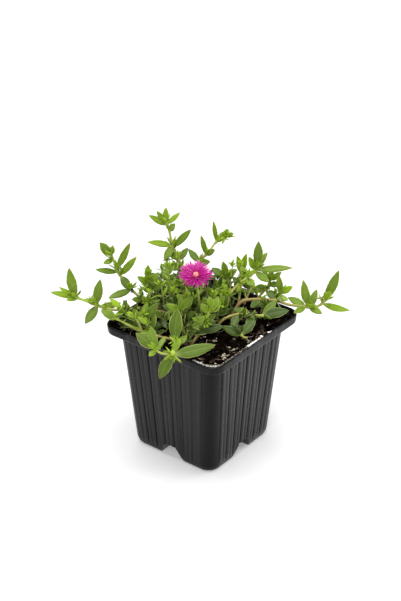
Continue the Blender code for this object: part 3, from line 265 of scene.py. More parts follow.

# Shoots, right, near and up in millimetres: the root and the stem's radius, the
# stem's points, its leaves as foot, tip and width, and for some a branch
Shoot = namedtuple("Shoot", "root radius stem leaves branch", defaults=((),))
SHOOTS = {
    "shoot_left_long": Shoot((-14, -2), 1.1, (
        (-26, -1, 93), (-40, 0, 96), (-47, 0, 95), (-58, 1, 96), (-67, 2, 100), (-79, 3, 106),
    ), (
        (-80, 3, 106, -82, 2, 126, 5.6), (-79, 3, 106, -94, 6, 111, 3.8), (-78, 3, 106, -89, 1, 112, 3.0),
        (-77, 3, 105, -84, 9, 107, 3.2), (-66, 2, 100, -63, 0, 117, 5.4), (-65, 2, 99, -73, 9, 90, 5.4),
        (-64, 2, 98, -51, -7, 96, 4.2), (-68, 2, 100, -68, -4, 104, 3.0), (-59, 1, 96, -55, 9, 92, 3.6),
    )),
    "shoot_left_upper": Shoot((-22, -8), 1.1, (
        (-30, -8, 93), (-36, -9, 96), (-45, -14, 102), (-53, -18, 112), (-56, -20, 120), (-58, -21, 123),
    ), (
        (-58, -20, 122, -64, -20, 132, 5.4), (-54, -18, 114, -45, -20, 132, 4.3),
        (-52, -17, 110, -41, -18, 123, 4.3), (-53, -18, 112, -67, -14, 116, 3.7),
        (-51, -17, 110, -45, -12, 102, 5.0), (-56, -20, 120, -62, -16, 119, 3.4),
        (-58, -21, 122, -56, -22, 129, 3.4), (-45, -14, 101, -59, -4, 101, 4.6),
        (-38, -10, 97, -44, -2, 101, 4.0),
    )),
    "shoot_left_rim": Shoot((-15, 26), 1.0, (
        (-20, 27, 90), (-26, 26, 91), (-37, 21, 92), (-46, 15, 93), (-54, 10, 95),
    ), (
        (-54, 10, 95, -63, 8, 99, 5.0), (-38, 20, 93, -51, 8, 93, 4.0), (-52, 10, 94, -49, 3, 98, 3.4),
        (-41, 20, 101, -42, 19, 107, 3.0), (-41, 20, 100, -46, 20, 101, 2.8),
        (-40, 20, 99, -36, 17, 103, 3.0),
    ), (
        (-37, 21, 92), (-39, 21, 98), (-41, 20, 101),
    )),
    "shoot_front_hanging": Shoot((-18, 22), 1.2, (
        (-17, 28, 94), (-16, 36, 98), (-17, 44, 96), (-18, 50, 92),
    ), (
        (-18, 50, 91, -26, 54, 78, 6.4), (-18, 50, 92, 8, 47, 98, 6.8), (-17, 41, 97, -15, 34, 116, 7.2),
        (-18, 49, 93, -13, 44, 101, 3.6), (-17, 44, 96, -9, 36, 98, 4.0), (-29, 48, 96, -40, 43, 104, 6.6),
        (-28, 48, 96, -31, 41, 107, 5.6), (-27, 48, 95, -22, 40, 100, 3.0), (-28, 48, 95, -32, 52, 93, 3.2),
    ), (
        (-18, 50, 92), (-24, 49, 93), (-28, 48, 95), (-30, 47, 97),
    )),
    "shoot_front_middle": Shoot((-7, 30), 1.0, (
        (-3, 28, 93), (0, 26, 99), (4, 24, 106), (6, 23, 110),
    ), (
        (-1, 27, 95, 13, 27, 99, 5.0), (0, 26, 99, -5, 24, 104, 4.0), (1, 26, 100, 8, 21, 104, 4.0),
        (4, 24, 106, -1, 22, 112, 4.0), (5, 24, 107, 11, 20, 111, 4.0), (6, 23, 110, 4, 20, 116, 3.6),
        (6, 23, 109, 10, 20, 116, 3.4), (-3, 28, 93, -9, 24, 97, 4.0),
    )),
    "shoot_front_left": Shoot((-35, 13), 0.9, (
        (-36, 14, 92), (-36, 14, 98),
    ), (
        (-36, 14, 95, -27, 12, 107, 4.8), (-36, 14, 91, -25, 17, 94, 4.2), (-36, 14, 95, -42, 12, 101, 3.8),
        (-36, 14, 98, -34, 10, 106, 3.6), (-36, 14, 91, -45, 18, 96, 4.0),
    )),
    "shoot_centre_front": Shoot((-13, 13), 0.9, (
        (-13, 12, 94), (-13, 12, 101),
    ), (
        (-13, 12, 100, -6, 10, 111, 5.0), (-13, 12, 99, -22, 12, 106, 4.4), (-13, 12, 95, -21, 17, 98, 4.2),
        (-13, 12, 95, -4, 13, 101, 4.2), (-13, 12, 101, -13, 8, 109, 3.6),
    )),
    "shoot_centre_right": Shoot((3, 8), 0.9, (
        (6, 5, 93), (7, 4, 99),
    ), (
        (7, 4, 98, 14, 2, 106, 4.2), (7, 4, 98, 0, 2, 105, 4.0), (7, 4, 95, 17, 6, 99, 4.0),
        (7, 4, 99, 7, 0, 107, 3.6), (6, 5, 94, 0, 10, 99, 4.0),
    )),
    "shoot_right_rim": Shoot((27, 22), 0.9, (
        (25, 23, 89), (22, 22, 92),
    ), (
        (24, 23, 90, 12, 20, 95, 4.6), (23, 23, 90, 33, 14, 96, 5.0), (22, 22, 91, 25, 22, 97, 2.8),
        (22, 22, 92, 18, 20, 96, 2.8),
    )),
    "shoot_right_low": Shoot((8, 13), 1.0, (
        (13, 12, 95), (22, 9, 97), (31, 8, 96), (38, 6, 94),
    ), (
        (37, 6, 94, 54, 6, 98, 6.0), (38, 6, 94, 46, 0, 102, 4.6), (31, 8, 96, 28, 18, 91, 5.0),
        (30, 8, 96, 19, 4, 98, 4.4), (38, 6, 94, 43, 2, 97, 3.4), (22, 9, 97, 18, 17, 92, 4.4),
    )),
    "shoot_right_long": Shoot((18, -3), 1.2, (
        (24, -4, 98), (33, -6, 99), (46, -8, 97), (55, -8, 94), (68, -7, 93), (74, -6, 95), (77, -6, 99),
    ), (
        (67, -7, 93, 63, -10, 111, 5.2), (65, -7, 93, 54, -14, 96, 4.6), (77, -6, 98, 85, -8, 119, 5.6),
        (75, -6, 96, 93, -6, 91, 4.2), (68, -7, 93, 72, -12, 103, 4.4), (65, -7, 93, 57, -1, 92, 3.8),
        (67, -7, 93, 75, 0, 92, 4.2), (77, -6, 98, 80, -2, 107, 4.0), (46, -8, 97, 40, -14, 101, 3.8),
        (36, -7, 98, 30, 1, 97, 4.2),
    )),
    "shoot_right_upper": Shoot((8, 1), 1.1, (
        (14, -4, 99), (22, -10, 107), (28, -14, 110), (33, -18, 112), (35, -19, 116),
    ), (
        (35, -19, 115, 35, -20, 133, 5.6), (34, -18, 113, 29, -20, 122, 4.0),
        (35, -19, 114, 41, -22, 124, 3.8), (34, -18, 113, 57, -18, 115, 4.4),
        (34, -18, 112, 42, -12, 108, 4.4), (28, -14, 110, 24, -18, 116, 4.0),
        (27, -14, 109, 33, -8, 108, 4.4), (16, -5, 101, 12, 1, 106, 4.0),
    )),
    "shoot_right_edge": Shoot((38, -14), 0.9, (
        (42, -15, 92), (46, -16, 93), (48, -15, 96), (50, -15, 99),
    ), (
        (50, -15, 99, 48, -16, 111, 4.0), (50, -15, 98, 57, -14, 104, 3.8), (48, -15, 96, 55, -20, 91, 3.8),
        (47, -15, 95, 42, -18, 99, 3.6),
    )),
    "shoot_right_back": Shoot((32, -18), 0.9, (
        (36, -20, 93), (40, -20, 98), (42, -20, 102), (43, -20, 106),
    ), (
        (43, -20, 105, 50, -20, 111, 3.6), (43, -20, 104, 38, -22, 111, 4.0),
        (42, -20, 102, 49, -18, 103, 3.8), (40, -20, 99, 34, -20, 101, 3.6),
        (43, -20, 106, 44, -22, 112, 3.2),
    )),
    "shoot_back_tall": Shoot((-5, -19), 1.1, (
        (-9, -24, 98), (-13, -28, 108), (-16, -31, 117), (-19, -34, 123), (-21, -38, 131), (-23, -40, 136),
    ), (
        (-22, -40, 134, -34, -40, 141, 4.0), (-23, -40, 136, -29, -42, 143, 3.4),
        (-22, -40, 135, -14, -42, 142, 3.2), (-21, -38, 131, -17, -34, 138, 4.0),
        (-18, -33, 122, -7, -34, 134, 4.5), (-19, -33, 122, -35, -32, 126, 3.9),
        (-19, -34, 122, -24, -28, 115, 4.6), (-23, -40, 136, -23, -41, 146, 3.8),
        (-15, -30, 114, -9, -34, 121, 4.0), (-15, -30, 114, -22, -34, 119, 3.8),
        (-13, -28, 109, -26, -26, 113, 4.4), (-12, -27, 106, -7, -20, 110, 4.2),
    )),
    "shoot_back_slim": Shoot((4, -24), 1.0, (
        (0, -28, 102), (-2, -31, 112), (4, -35, 117), (9, -40, 122), (16, -42, 125),
    ), (
        (9, -40, 122, 7, -40, 137, 2.8), (2, -34, 116, -1, -34, 130, 3.2), (2, -34, 116, 8, -29, 122, 3.8),
        (9, -40, 122, 14, -45, 127, 3.2), (15, -42, 125, 20, -40, 128, 3.2),
        (13, -41, 124, 16, -43, 130, 3.0), (-2, -31, 112, -9, -36, 119, 4.2),
        (-2, -31, 111, 5, -26, 115, 4.4),
    )),
    "shoot_left_upright": Shoot((-29, -14), 0.9, (
        (-31, -14, 97), (-33, -14, 104), (-34, -14, 109),
    ), (
        (-34, -14, 108, -34, -15, 119, 4.0), (-33, -14, 106, -41, -14, 111, 4.0),
        (-33, -14, 106, -27, -16, 113, 4.0), (-32, -14, 101, -38, -10, 105, 4.0),
        (-32, -14, 101, -24, -14, 106, 4.0),
    )),
    "shoot_upright_a": Shoot((16, -17), 0.9, (
        (17, -21, 94), (16, -24, 102), (15, -24, 107),
    ), (
        (15, -24, 106, 13, -25, 116, 4.0), (16, -24, 104, 10, -24, 110, 3.6),
        (16, -24, 103, 20, -25, 110, 4.0), (17, -22, 98, 10, -20, 101, 3.6),
    )),
    "shoot_upright_b": Shoot((23, -21), 0.9, (
        (24, -25, 94), (25, -27, 101), (25, -28, 106),
    ), (
        (25, -28, 105, 22, -29, 118, 4.0), (25, -28, 106, 28, -30, 119, 4.0),
        (25, -27, 101, 31, -29, 107, 3.8), (24, -26, 98, 19, -30, 102, 3.6),
    )),
    "shoot_over_back_left": Shoot((-17, -33), 1.0, (
        (-21, -39, 92), (-25, -46, 93), (-28, -51, 88), (-29, -54, 79), (-31, -57, 72),
    ), (
        (-31, -57, 72, -34, -62, 60, 5.4), (-31, -57, 73, -40, -58, 66, 4.8),
        (-29, -54, 79, -22, -61, 70, 5.2), (-29, -54, 80, -38, -55, 84, 5.0),
        (-27, -50, 90, -21, -56, 95, 4.8), (-27, -50, 90, -37, -47, 94, 5.0),
        (-22, -41, 92, -16, -45, 96, 4.4),
    )),
    "shoot_over_back_right": Shoot((12, -32), 1.0, (
        (13, -39, 92), (14, -47, 93), (15, -53, 88), (15, -56, 79),
    ), (
        (15, -56, 79, 12, -61, 66, 5.4), (15, -56, 79, 23, -60, 71, 5.0), (15, -55, 82, 6, -59, 80, 5.0),
        (15, -51, 90, 23, -55, 94, 4.8), (14, -48, 92, 6, -53, 96, 4.8), (13, -41, 92, 20, -44, 97, 4.4),
    )),
    "shoot_over_far_right": Shoot((27, -23), 1.0, (
        (30, -29, 92), (33, -34, 93), (35, -38, 88), (36, -40, 80),
    ), (
        (36, -40, 80, 38, -44, 68, 5.2), (36, -40, 81, 45, -39, 76, 4.8), (35, -38, 87, 28, -44, 84, 4.8),
        (35, -37, 89, 44, -34, 91, 4.8), (31, -31, 92, 25, -36, 97, 4.4),
    )),
    "shoot_left_broad": Shoot((-33, 8), 0.9, (
        (-34, 6, 93), (-34, 5, 99), (-34, 4, 103),
    ), (
        (-34, 6, 93, -28, -2, 99, 4.4), (-34, 6, 93, -39, 8, 102, 3.6), (-34, 5, 98, -30, 9, 107, 3.0),
        (-34, 4, 102, -33, 3, 109, 2.8), (-34, 4, 101, -37, 6, 108, 2.6),
    )),
    "shoot_behind_left": Shoot((-13, -20), 0.9, (
        (-12, -19, 97), (-13, -20, 103),
    ), (
        (-13, -20, 102, -25, -17, 105, 3.8), (-12, -18, 98, -26, -12, 101, 4.0),
        (-13, -20, 102, -8, -22, 107, 3.0), (-12, -18, 98, -4, -14, 102, 3.2),
    )),
    "shoot_broad_middle": Shoot((-12, 4), 1.0, (
        (-13, 3, 97), (-11, 2, 102),
    ), (
        (-13, 3, 97, -6, 0, 104, 5.2), (-13, 3, 97, -25, 4, 100, 5.0), (-13, 4, 95, -6, 10, 89, 4.6),
        (-11, 2, 101, -16, 0, 107, 3.2),
    )),
    "shoot_bright_middle": Shoot((6, -5), 0.9, (
        (5, -6, 94), (7, -7, 101),
    ), (
        (5, -6, 95, 13, -4, 100, 3.6), (5, -6, 95, -2, -8, 97, 3.6), (7, -7, 100, 3, -6, 108, 3.0),
        (7, -7, 100, 11, -9, 106, 3.0), (5, -5, 93, 12, 2, 92, 3.8),
    )),
    "shoot_low_left": Shoot((-20, 10), 0.9, (
        (-23, 10, 92), (-26, 12, 97),
    ), (
        (-23, 10, 93, -32, 15, 90, 4.2), (-23, 10, 93, -19, 4, 98, 3.8), (-26, 12, 97, -30, 10, 101, 3.4),
        (-25, 12, 96, -22, 18, 92, 3.2),
    )),
    "shoot_right_tuft": Shoot((36, -4), 0.8, (
        (40, -4, 92), (41, -5, 95),
    ), (
        (40, -4, 93, 34, -3, 99, 2.6), (40, -4, 93, 37, -6, 99, 2.6), (41, -5, 95, 41, -7, 99, 2.6),
        (41, -5, 95, 47, -8, 95, 2.8), (41, -4, 93, 45, 0, 96, 2.8),
    )),
}


def seen(point):
    """Turn right, near and up in millimetres into a point of the part's frame."""
    right, near, up = point
    return (RIGHT * right + NEAR * near + UP * up) * MM


def raised(place, z):
    """Point over or under a place, at a height."""
    return Vector((place.x, place.y, z))


def between(low, high, share):
    """Mix two numbers or vectors."""
    return low + (high - low) * share


def clamp(value, low=0.0, high=1.0):
    """Keep a number inside a range."""
    return max(low, min(high, value))


def smooth(low, high, value):
    """Rise smoothly from 0 at one value to 1 at another."""
    share = clamp((value - low) / (high - low))
    return share * share * (3.0 - 2.0 * share)


def linear(red, green, blue):
    """Turn a colour as a screen shows it, 0 to 255, into light, 0 to 1."""
    parts = []
    for value in (red, green, blue):
        value /= 255.0
        parts.append(value / 12.92 if value <= 0.04045 else ((value + 0.055) / 1.055) ** 2.4)
    return tuple(parts)


def compass(turn):
    """Level direction at a turn about the upright."""
    return Vector((math.cos(turn), math.sin(turn), 0.0))


def circle(centre, side, other, radius, count, unit=1.0, flute=0.0):
    """Points round a centre in the plane of two directions, with five flutes of a depth, if any."""
    ring = []
    for step in range(count):
        angle = math.tau * step / count
        reach = radius * (1.0 + flute * math.cos(5.0 * angle))
        ring.append(centre + (side * math.cos(angle) + other * math.sin(angle)) * reach * unit)
    return ring


def fan(forward, side, angle, spread):
    """Direction out of a stem at an angle round it, and one that leans that way by a spread."""
    out = side * math.cos(angle) + forward.cross(side) * math.sin(angle)
    return out, forward * math.cos(spread) + out * math.sin(spread)


def add_object(name, data):
    """Put a mesh, a light or a camera into the scene."""
    item = bpy.data.objects.new(name, data)
    bpy.context.scene.collection.objects.link(item)
    return item


def dress(item, slot, *nodes):
    """Hang a piece on the one body, and hide the imported parts that it stands for."""
    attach(item, "root")
    if nodes:
        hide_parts(*nodes)


# Mesh under construction


class Growth:
    """Points, faces and marks of one piece: each part of it is added in turn."""

    def __init__(self):
        self.points = []
        self.faces = []
        self.slots = []
        self.marks = []

    def add(self, points, faces, marks, slot=0):
        """Add a part, its faces counted from its own first point."""
        first = len(self.points)
        self.points += points
        self.marks += marks
        self.faces += [tuple(first + index for index in face) for face in faces]
        self.slots += [slot] * len(faces)

    def rings(self, rings, marks, slot=0):
        """Close rings of points into a skin from a first pole to a last pole."""
        start, middle, end = rings[0], rings[1:-1], rings[-1]
        count = len(middle[0])
        points = [start] + [point for ring in middle for point in ring] + [end]
        flat = [marks[0]] + [mark for ring in marks[1:-1] for mark in ring] + [marks[-1]]
        last = len(points) - 1
        faces = []
        for side in range(count):
            after = (side + 1) % count
            faces.append((0, 1 + after, 1 + side))
            tail = 1 + (len(middle) - 1) * count
            faces.append((last, tail + side, tail + after))
            for row in range(len(middle) - 1):
                a = 1 + row * count
                faces.append((a + side, a + after, a + count + after, a + count + side))
        self.add(points, faces, flat, slot)

    def piece(self, name, materials, slot, *nodes):
        """Make the object, hang it on the one body and hide the imported parts that it stands for."""
        mesh = bpy.data.meshes.new(name)
        mesh.from_pydata([tuple(point) for point in self.points], [], self.faces)
        mesh.polygons.foreach_set("material_index", self.slots)
        layer = mesh.attributes.new("growth", "FLOAT_COLOR", "POINT")
        layer.data.foreach_set("color", [value for mark in self.marks for value in mark])
        for material in materials:
            mesh.materials.append(material)
        mesh.shade_smooth()
        mesh.set_sharp_from_angle(angle=math.radians(GROWN_SHARP))
        mesh.update()
        dress(add_object(name, mesh), slot, *nodes)


# Materials


class Shade:
    """A material's node tree, with short ways to add its nodes."""

    def __init__(self, name):
        self.material = bpy.data.materials.new(name)
        self.material.use_nodes = True
        self.tree = self.material.node_tree
        self.shader = self.tree.nodes["Principled BSDF"]
        self.space = self.node("ShaderNodeTexCoord").outputs["Object"]
        growth = self.node("ShaderNodeAttribute")
        growth.attribute_name = "growth"
        split = self.node("ShaderNodeSeparateColor")
        self.link(growth.outputs["Color"], split.inputs[0])
        self.along, self.edge, self.tone = split.outputs
        self.age = growth.outputs["Alpha"]

    def node(self, kind, **values):
        """Add a node and set its inputs."""
        return self.fill(self.tree.nodes.new(kind), values)

    def fill(self, node, values):
        """Set a node's inputs by their names."""
        for name, value in values.items():
            self.put(value, node.inputs[name.replace("_", " ")])
        return node

    def link(self, output, socket):
        """Join an output to an input."""
        self.tree.links.new(output, socket)

    def put(self, value, socket):
        """Set an input to a number, a colour or another node's output."""
        if isinstance(value, bpy.types.NodeSocket):
            self.link(value, socket)
        elif isinstance(value, tuple) and len(value) == 3 and socket.type == "RGBA":
            socket.default_value = (*value, 1.0)
        else:
            socket.default_value = value

    def finish(self, **values):
        """Set the shader's own inputs; gives the material."""
        self.fill(self.shader, values)
        return self.material

    def mix(self, first, second, share):
        """Mix two colours."""
        node = self.node("ShaderNodeMix")
        node.data_type = "RGBA"
        for value, index in ((share, 0), (first, 6), (second, 7)):
            self.put(value, node.inputs[index])
        return node.outputs[2]

    def sum(self, operation, *terms):
        """Do a sum."""
        node = self.node("ShaderNodeMath")
        node.operation = operation
        for value, socket in zip(terms, node.inputs):
            self.put(value, socket)
        return node.outputs[0]

    def step(self, value, low, high, to_low=0.0, to_high=1.0):
        """Rise smoothly between two values."""
        node = self.node("ShaderNodeMapRange")
        node.interpolation_type = "SMOOTHSTEP"
        for put, socket in zip((value, low, high, to_low, to_high), node.inputs):
            self.put(put, socket)
        return node.outputs[0]

    def tint(self, colour, other, value, *steps):
        """Mix a colour into another as a value rises between two steps."""
        return self.mix(colour, other, self.step(value, *steps))

    def noise(self, scale, detail=3.0, roughness=0.5, stretch=None, distortion=0.0):
        """Noise in the object's own space, which may be stretched along its axes."""
        space = self.space
        if stretch:
            space = self.node("ShaderNodeMapping", Vector=space, Scale=stretch).outputs[0]
        looks = {"Scale": scale, "Detail": detail, "Roughness": roughness, "Distortion": distortion}
        return self.node("ShaderNodeTexNoise", Vector=space, **looks).outputs[0]

    def cells(self, scale):
        """Cell distance in the object's own space."""
        return self.node("ShaderNodeTexVoronoi", Vector=self.space, Scale=scale).outputs["Distance"]

    def relief(self, height, strength, distance, before=None):
        """Bump the surface by a height, over an earlier bump if there is one."""
        node = self.node("ShaderNodeBump", Strength=strength, Distance=distance, Height=height)
        if before:
            self.link(before, node.inputs["Normal"])
        self.link(node.outputs[0], self.shader.inputs["Normal"])
        return node.outputs[0]


LEAF_YOUNG = linear(140, 170, 18)
LEAF_MATURE = linear(106, 131, 30)
LEAF_OLD = linear(54, 74, 18)
LEAF_MARGIN = linear(200, 208, 128)
LEAF_RED = linear(150, 112, 70)
STEM_OLD = linear(138, 112, 70)
STEM_MIDDLE = linear(150, 146, 66)
STEM_YOUNG = linear(158, 180, 70)
PETAL_TIP = linear(192, 26, 152)
PETAL_BODY = linear(178, 3, 132)
PETAL_HEART = linear(170, 4, 78)
ANTHER = linear(252, 158, 150)
LEAF_SHADOW = (0.013, 0.032, 0.006)
LEAF_MOTTLE = (0.04, 0.10, 0.02)
STEM_STREAK = (0.16, 0.08, 0.03)
PETAL_STREAK = (0.30, 0.002, 0.12)
ANTHER_DEEP = linear(246, 108, 118)
ANTHER_PALE = linear(255, 200, 190)
EARTH_DARK = (0.0009, 0.0007, 0.0006)
EARTH_BROWN = (0.006, 0.0036, 0.0024)
EARTH_CRUMB = (0.07, 0.045, 0.03)
BARK_DARK = (0.004, 0.003, 0.002)
BARK_BROWN = (0.06, 0.036, 0.022)
BARK_TAN = (0.52, 0.46, 0.34)
BARK_GRAIN = (0.02, 0.012, 0.008)
PERLITE_WHITE = (0.88, 0.86, 0.82)
PERLITE_PORE = (0.42, 0.36, 0.29)
PERLITE_DIRT = (0.20, 0.17, 0.13)
FLOOR_DARK = (0.60, 0.60, 0.60)
FLOOR_PALE = (0.62, 0.62, 0.62)
PLASTIC_DARK = (0.003, 0.003, 0.0031)
# the pale plastic colour below is painted sheen, given to the draw lines in place of the gloss they catch
PLASTIC_PAINTED_SHEEN = (0.027, 0.027, 0.0274)
PLASTIC_DUST = (0.06, 0.058, 0.053)


def leaf_material():
    """Fleshy green: brighter when young, with a pale margin and fine papillae, and painted shade that darkens
    it towards LEAF_SHADOW where its tone is low.
    """
    shade = Shade("leaf_tissue_fine")
    mottle = shade.noise(420.0, 4.0, 0.6)
    grain = shade.noise(1500.0, 2.0)
    colour = shade.tint(LEAF_YOUNG, LEAF_MATURE, shade.age, 0.08, 0.45)
    colour = shade.tint(colour, LEAF_OLD, shade.age, 0.5, 1.0, 0.0, 0.9)
    # painted shade: a low tone darkens the green towards LEAF_SHADOW; tones differ at random and are lowered
    # deep in the plant
    dark = shade.tint(colour, LEAF_SHADOW, shade.tone, 0.0, 0.5, 0.8, 0.0)
    colour = shade.tint(dark, LEAF_YOUNG, shade.tone, 0.55, 1.0, 0.0, 0.22)
    colour = shade.tint(colour, LEAF_MOTTLE, mottle, 0.35, 0.7, 0.0, 0.28)
    colour = shade.tint(colour, LEAF_MARGIN, shade.along, 0.0, 0.24, 0.4, 0.0)
    colour = shade.tint(colour, LEAF_MARGIN, shade.edge, 0.0, 0.16, 0.1, 0.0)
    colour = shade.tint(colour, LEAF_MARGIN, shade.edge, 0.86, 1.0, 0.0, 0.7)
    tip = shade.sum("MULTIPLY", shade.step(shade.along, 0.9, 1.0), shade.step(shade.tone, 0.5, 0.8))
    colour = shade.mix(colour, LEAF_RED, shade.sum("MULTIPLY", tip, 0.5))
    shade.relief(shade.sum("ADD", shade.cells(1900.0), grain), 0.22, 0.0004)
    return shade.finish(
        Base_Color=colour,
        Roughness=shade.step(grain, 0.3, 0.7, 0.36, 0.5),
        Subsurface_Weight=0.18,
        Subsurface_Radius=(0.4, 0.9, 0.15),
        Subsurface_Scale=0.0012,
        Specular_IOR_Level=0.22,
    )


def stem_material():
    """Stem: pinkish brown at the root, tan in the middle, yellow-green at the tip."""
    shade = Shade("stem_tissue_fine")
    streak = shade.noise(900.0, 3.0, 0.6)
    colour = shade.tint(STEM_OLD, STEM_MIDDLE, shade.along, 0.1, 0.5)
    colour = shade.tint(colour, STEM_YOUNG, shade.along, 0.45, 0.95)
    colour = shade.tint(colour, STEM_OLD, shade.tone, 0.4, 1.0, 0.0, 0.4)
    colour = shade.tint(colour, STEM_STREAK, streak, 0.45, 0.8, 0.0, 0.45)
    shade.relief(streak, 0.3, 0.0003)
    return shade.finish(
        Base_Color=colour,
        Roughness=shade.step(streak, 0.3, 0.7, 0.42, 0.6),
        Subsurface_Weight=0.12,
        Subsurface_Radius=(0.6, 0.5, 0.2),
        Subsurface_Scale=0.001,
    )


def petal_material():
    """Silky magenta: crimson at the heart, lighter at the tips, with fine streaks."""
    shade = Shade("petal_tissue_fine")
    streak = shade.noise(1300.0, 2.0)
    colour = shade.tint(PETAL_HEART, PETAL_BODY, shade.along, 0.12, 0.45)
    colour = shade.tint(colour, PETAL_TIP, shade.along, 0.55, 1.0, 0.0, 0.8)
    colour = shade.tint(colour, PETAL_HEART, shade.tone, 0.0, 0.45, 0.5, 0.0)
    colour = shade.tint(colour, PETAL_TIP, shade.tone, 0.65, 1.0, 0.0, 0.45)
    colour = shade.tint(colour, PETAL_STREAK, streak, 0.5, 0.8, 0.0, 0.3)
    return shade.finish(
        Base_Color=colour,
        Roughness=shade.step(streak, 0.3, 0.7, 0.38, 0.52),
        Subsurface_Weight=0.25,
        Subsurface_Radius=(0.9, 0.2, 0.6),
        Subsurface_Scale=0.0012,
        Sheen_Weight=0.1,
        Sheen_Roughness=0.4,
    )


def anther_material():
    """Pale pink stamens."""
    shade = Shade("stamens_fine")
    grain = shade.noise(1600.0, 2.0)
    colour = shade.tint(ANTHER, ANTHER_DEEP, grain, 0.4, 0.7, 0.0, 0.7)
    colour = shade.tint(colour, ANTHER_PALE, shade.tone, 0.55, 1.0, 0.0, 0.7)
    return shade.finish(
        Base_Color=colour,
        Roughness=shade.step(grain, 0.3, 0.7, 0.5, 0.7),
        Subsurface_Weight=0.2,
        Subsurface_Radius=(0.9, 0.4, 0.3),
        Subsurface_Scale=0.001,
    )


def tapered_space(shade):
    """The pot's space with its taper taken out, and painted shade that sets how pale its corners, its feet
    and the hollows under it are.
    """
    split = shade.node("ShaderNodeSeparateXYZ")
    shade.link(shade.space, split.inputs[0])
    slope = (WALL_TOP_HALF - WALL_FOOT_HALF) / (POT_HEIGHT - LIP_DROP - FOOT_HEIGHT)
    half = shade.sum("MULTIPLY_ADD", split.outputs[2], slope, WALL_FOOT_HALF - slope * FOOT_HEIGHT)
    join = shade.node("ShaderNodeCombineXYZ")
    sides = [shade.sum("DIVIDE", split.outputs[axis], half) for axis in (0, 1)]
    for side, socket in zip(sides, join.inputs):
        shade.link(side, socket)
    shade.link(split.outputs[2], join.inputs[2])
    # painted shade: the corners, the feet and the hollows under the pot are made darker
    corner = shade.step(shade.sum("ABSOLUTE", shade.sum("MULTIPLY", *sides)), 0.7, 0.82, 1.0, 0.18)
    foot = shade.step(split.outputs[2], 0.5 * MM, 9.0 * MM, 0.45, 1.0)
    outer = shade.sum("MAXIMUM", *[shade.sum("ABSOLUTE", side) for side in sides])
    hollow = shade.step(outer, 0.935, 0.985, 0.08, 1.0)
    return join.outputs[0], shade.sum("MULTIPLY", shade.sum("MULTIPLY", corner, foot), hollow)


def plastic_material():
    """Satin black plastic with upright draw lines, scuffs and a little dust; the draw lines are painted pale
    as sheen, and painted shade darkens its corners, feet and hollows.
    """
    shade = Shade("black_plastic_fine")
    plain = shade.space
    shade.space, wear_and_painted_shade = tapered_space(shade)
    lines = shade.noise(1.0, 3.0, 0.6, (42.0, 42.0, 7.0))
    bands = shade.noise(1.0, 2.0, 0.5, (13.0, 13.0, 5.0))
    shade.space = plain
    scuff = shade.noise(160.0, 5.0, 0.7, distortion=0.6)
    grain = shade.noise(2600.0, 2.0)
    # painted sheen: the upright draw lines and broader bands are made pale in the colour, in place of the
    # gloss they catch
    pale = shade.step(lines, 0.36, 0.64, 0.0, 0.65)
    pale = shade.sum("ADD", pale, shade.step(bands, 0.35, 0.65, 0.0, 0.35))
    # painted shade: that pale sheen is taken out at the corners, the feet and the hollows
    colour = shade.mix(PLASTIC_DARK, PLASTIC_PAINTED_SHEEN, shade.sum("MULTIPLY", pale, wear_and_painted_shade))
    dust = shade.sum("MULTIPLY", shade.step(lines, 0.5, 0.78), shade.step(scuff, 0.4, 0.75))
    colour = shade.mix(colour, PLASTIC_DUST, shade.sum("MULTIPLY", dust, 0.25))
    wear = shade.step(scuff, 0.3, 0.75, 0.24, 0.34)
    rough = shade.sum("ADD", wear, shade.step(lines, 0.4, 0.7, 0.0, 0.06))
    first = shade.relief(lines, 0.3, 0.0003)
    shade.relief(grain, 0.1, 0.0001, first)
    return shade.finish(Base_Color=colour, Roughness=rough, Specular_IOR_Level=0.13)


def earth_material():
    """Moist dark peat."""
    shade = Shade("potting_mix_fine")
    patch = shade.noise(260.0, 5.0, 0.65)
    crumb = shade.noise(1300.0, 4.0, 0.7)
    colour = shade.tint(EARTH_DARK, EARTH_BROWN, patch, 0.35, 0.7)
    colour = shade.tint(colour, EARTH_CRUMB, crumb, 0.66, 0.9, 0.0, 0.4)
    shade.relief(crumb, 0.7, 0.0008)
    rough = shade.step(crumb, 0.3, 0.7, 0.75, 0.95)
    return shade.finish(Base_Color=colour, Roughness=rough, Specular_IOR_Level=0.0)


def bark_material():
    """Bark and fibre: dark brown to tan by piece."""
    shade = Shade("bark_fine")
    grain = shade.noise(1.0, 4.0, 0.65, (1600.0, 1600.0, 500.0))
    colour = shade.tint(BARK_DARK, BARK_BROWN, shade.tone, 0.1, 0.75)
    colour = shade.tint(colour, BARK_TAN, shade.tone, 0.72, 0.95, 0.0, 0.95)
    colour = shade.tint(colour, BARK_GRAIN, grain, 0.45, 0.75, 0.0, 0.5)
    shade.relief(grain, 0.5, 0.0004)
    rough = shade.step(grain, 0.3, 0.7, 0.7, 0.9)
    return shade.finish(Base_Color=colour, Roughness=rough, Specular_IOR_Level=0.12)


def perlite_material():
    """White perlite with a little dirt in its pores."""
    shade = Shade("perlite_fine")
    pores = shade.noise(1500.0, 4.0, 0.7)
    colour = shade.tint(PERLITE_WHITE, PERLITE_PORE, pores, 0.52, 0.8, 0.0, 0.8)
    colour = shade.tint(colour, PERLITE_DIRT, shade.tone, 0.5, 1.0)
    shade.relief(pores, 0.6, 0.0005)
    rough = shade.step(pores, 0.3, 0.7, 0.75, 0.95)
    return shade.finish(Base_Color=colour, Roughness=rough)


def floor_material():
    """Plain pale floor."""
    shade = Shade("studio_floor")
    return shade.finish(
        Base_Color=shade.mix(FLOOR_DARK, FLOOR_PALE, shade.noise(3.0, 2.0)),
        Roughness=0.9,
        Specular_IOR_Level=0.1,
        Emission_Color=(1.0, 1.0, 1.0),
        Emission_Strength=0.26,
    )


# Routes, as in the solids


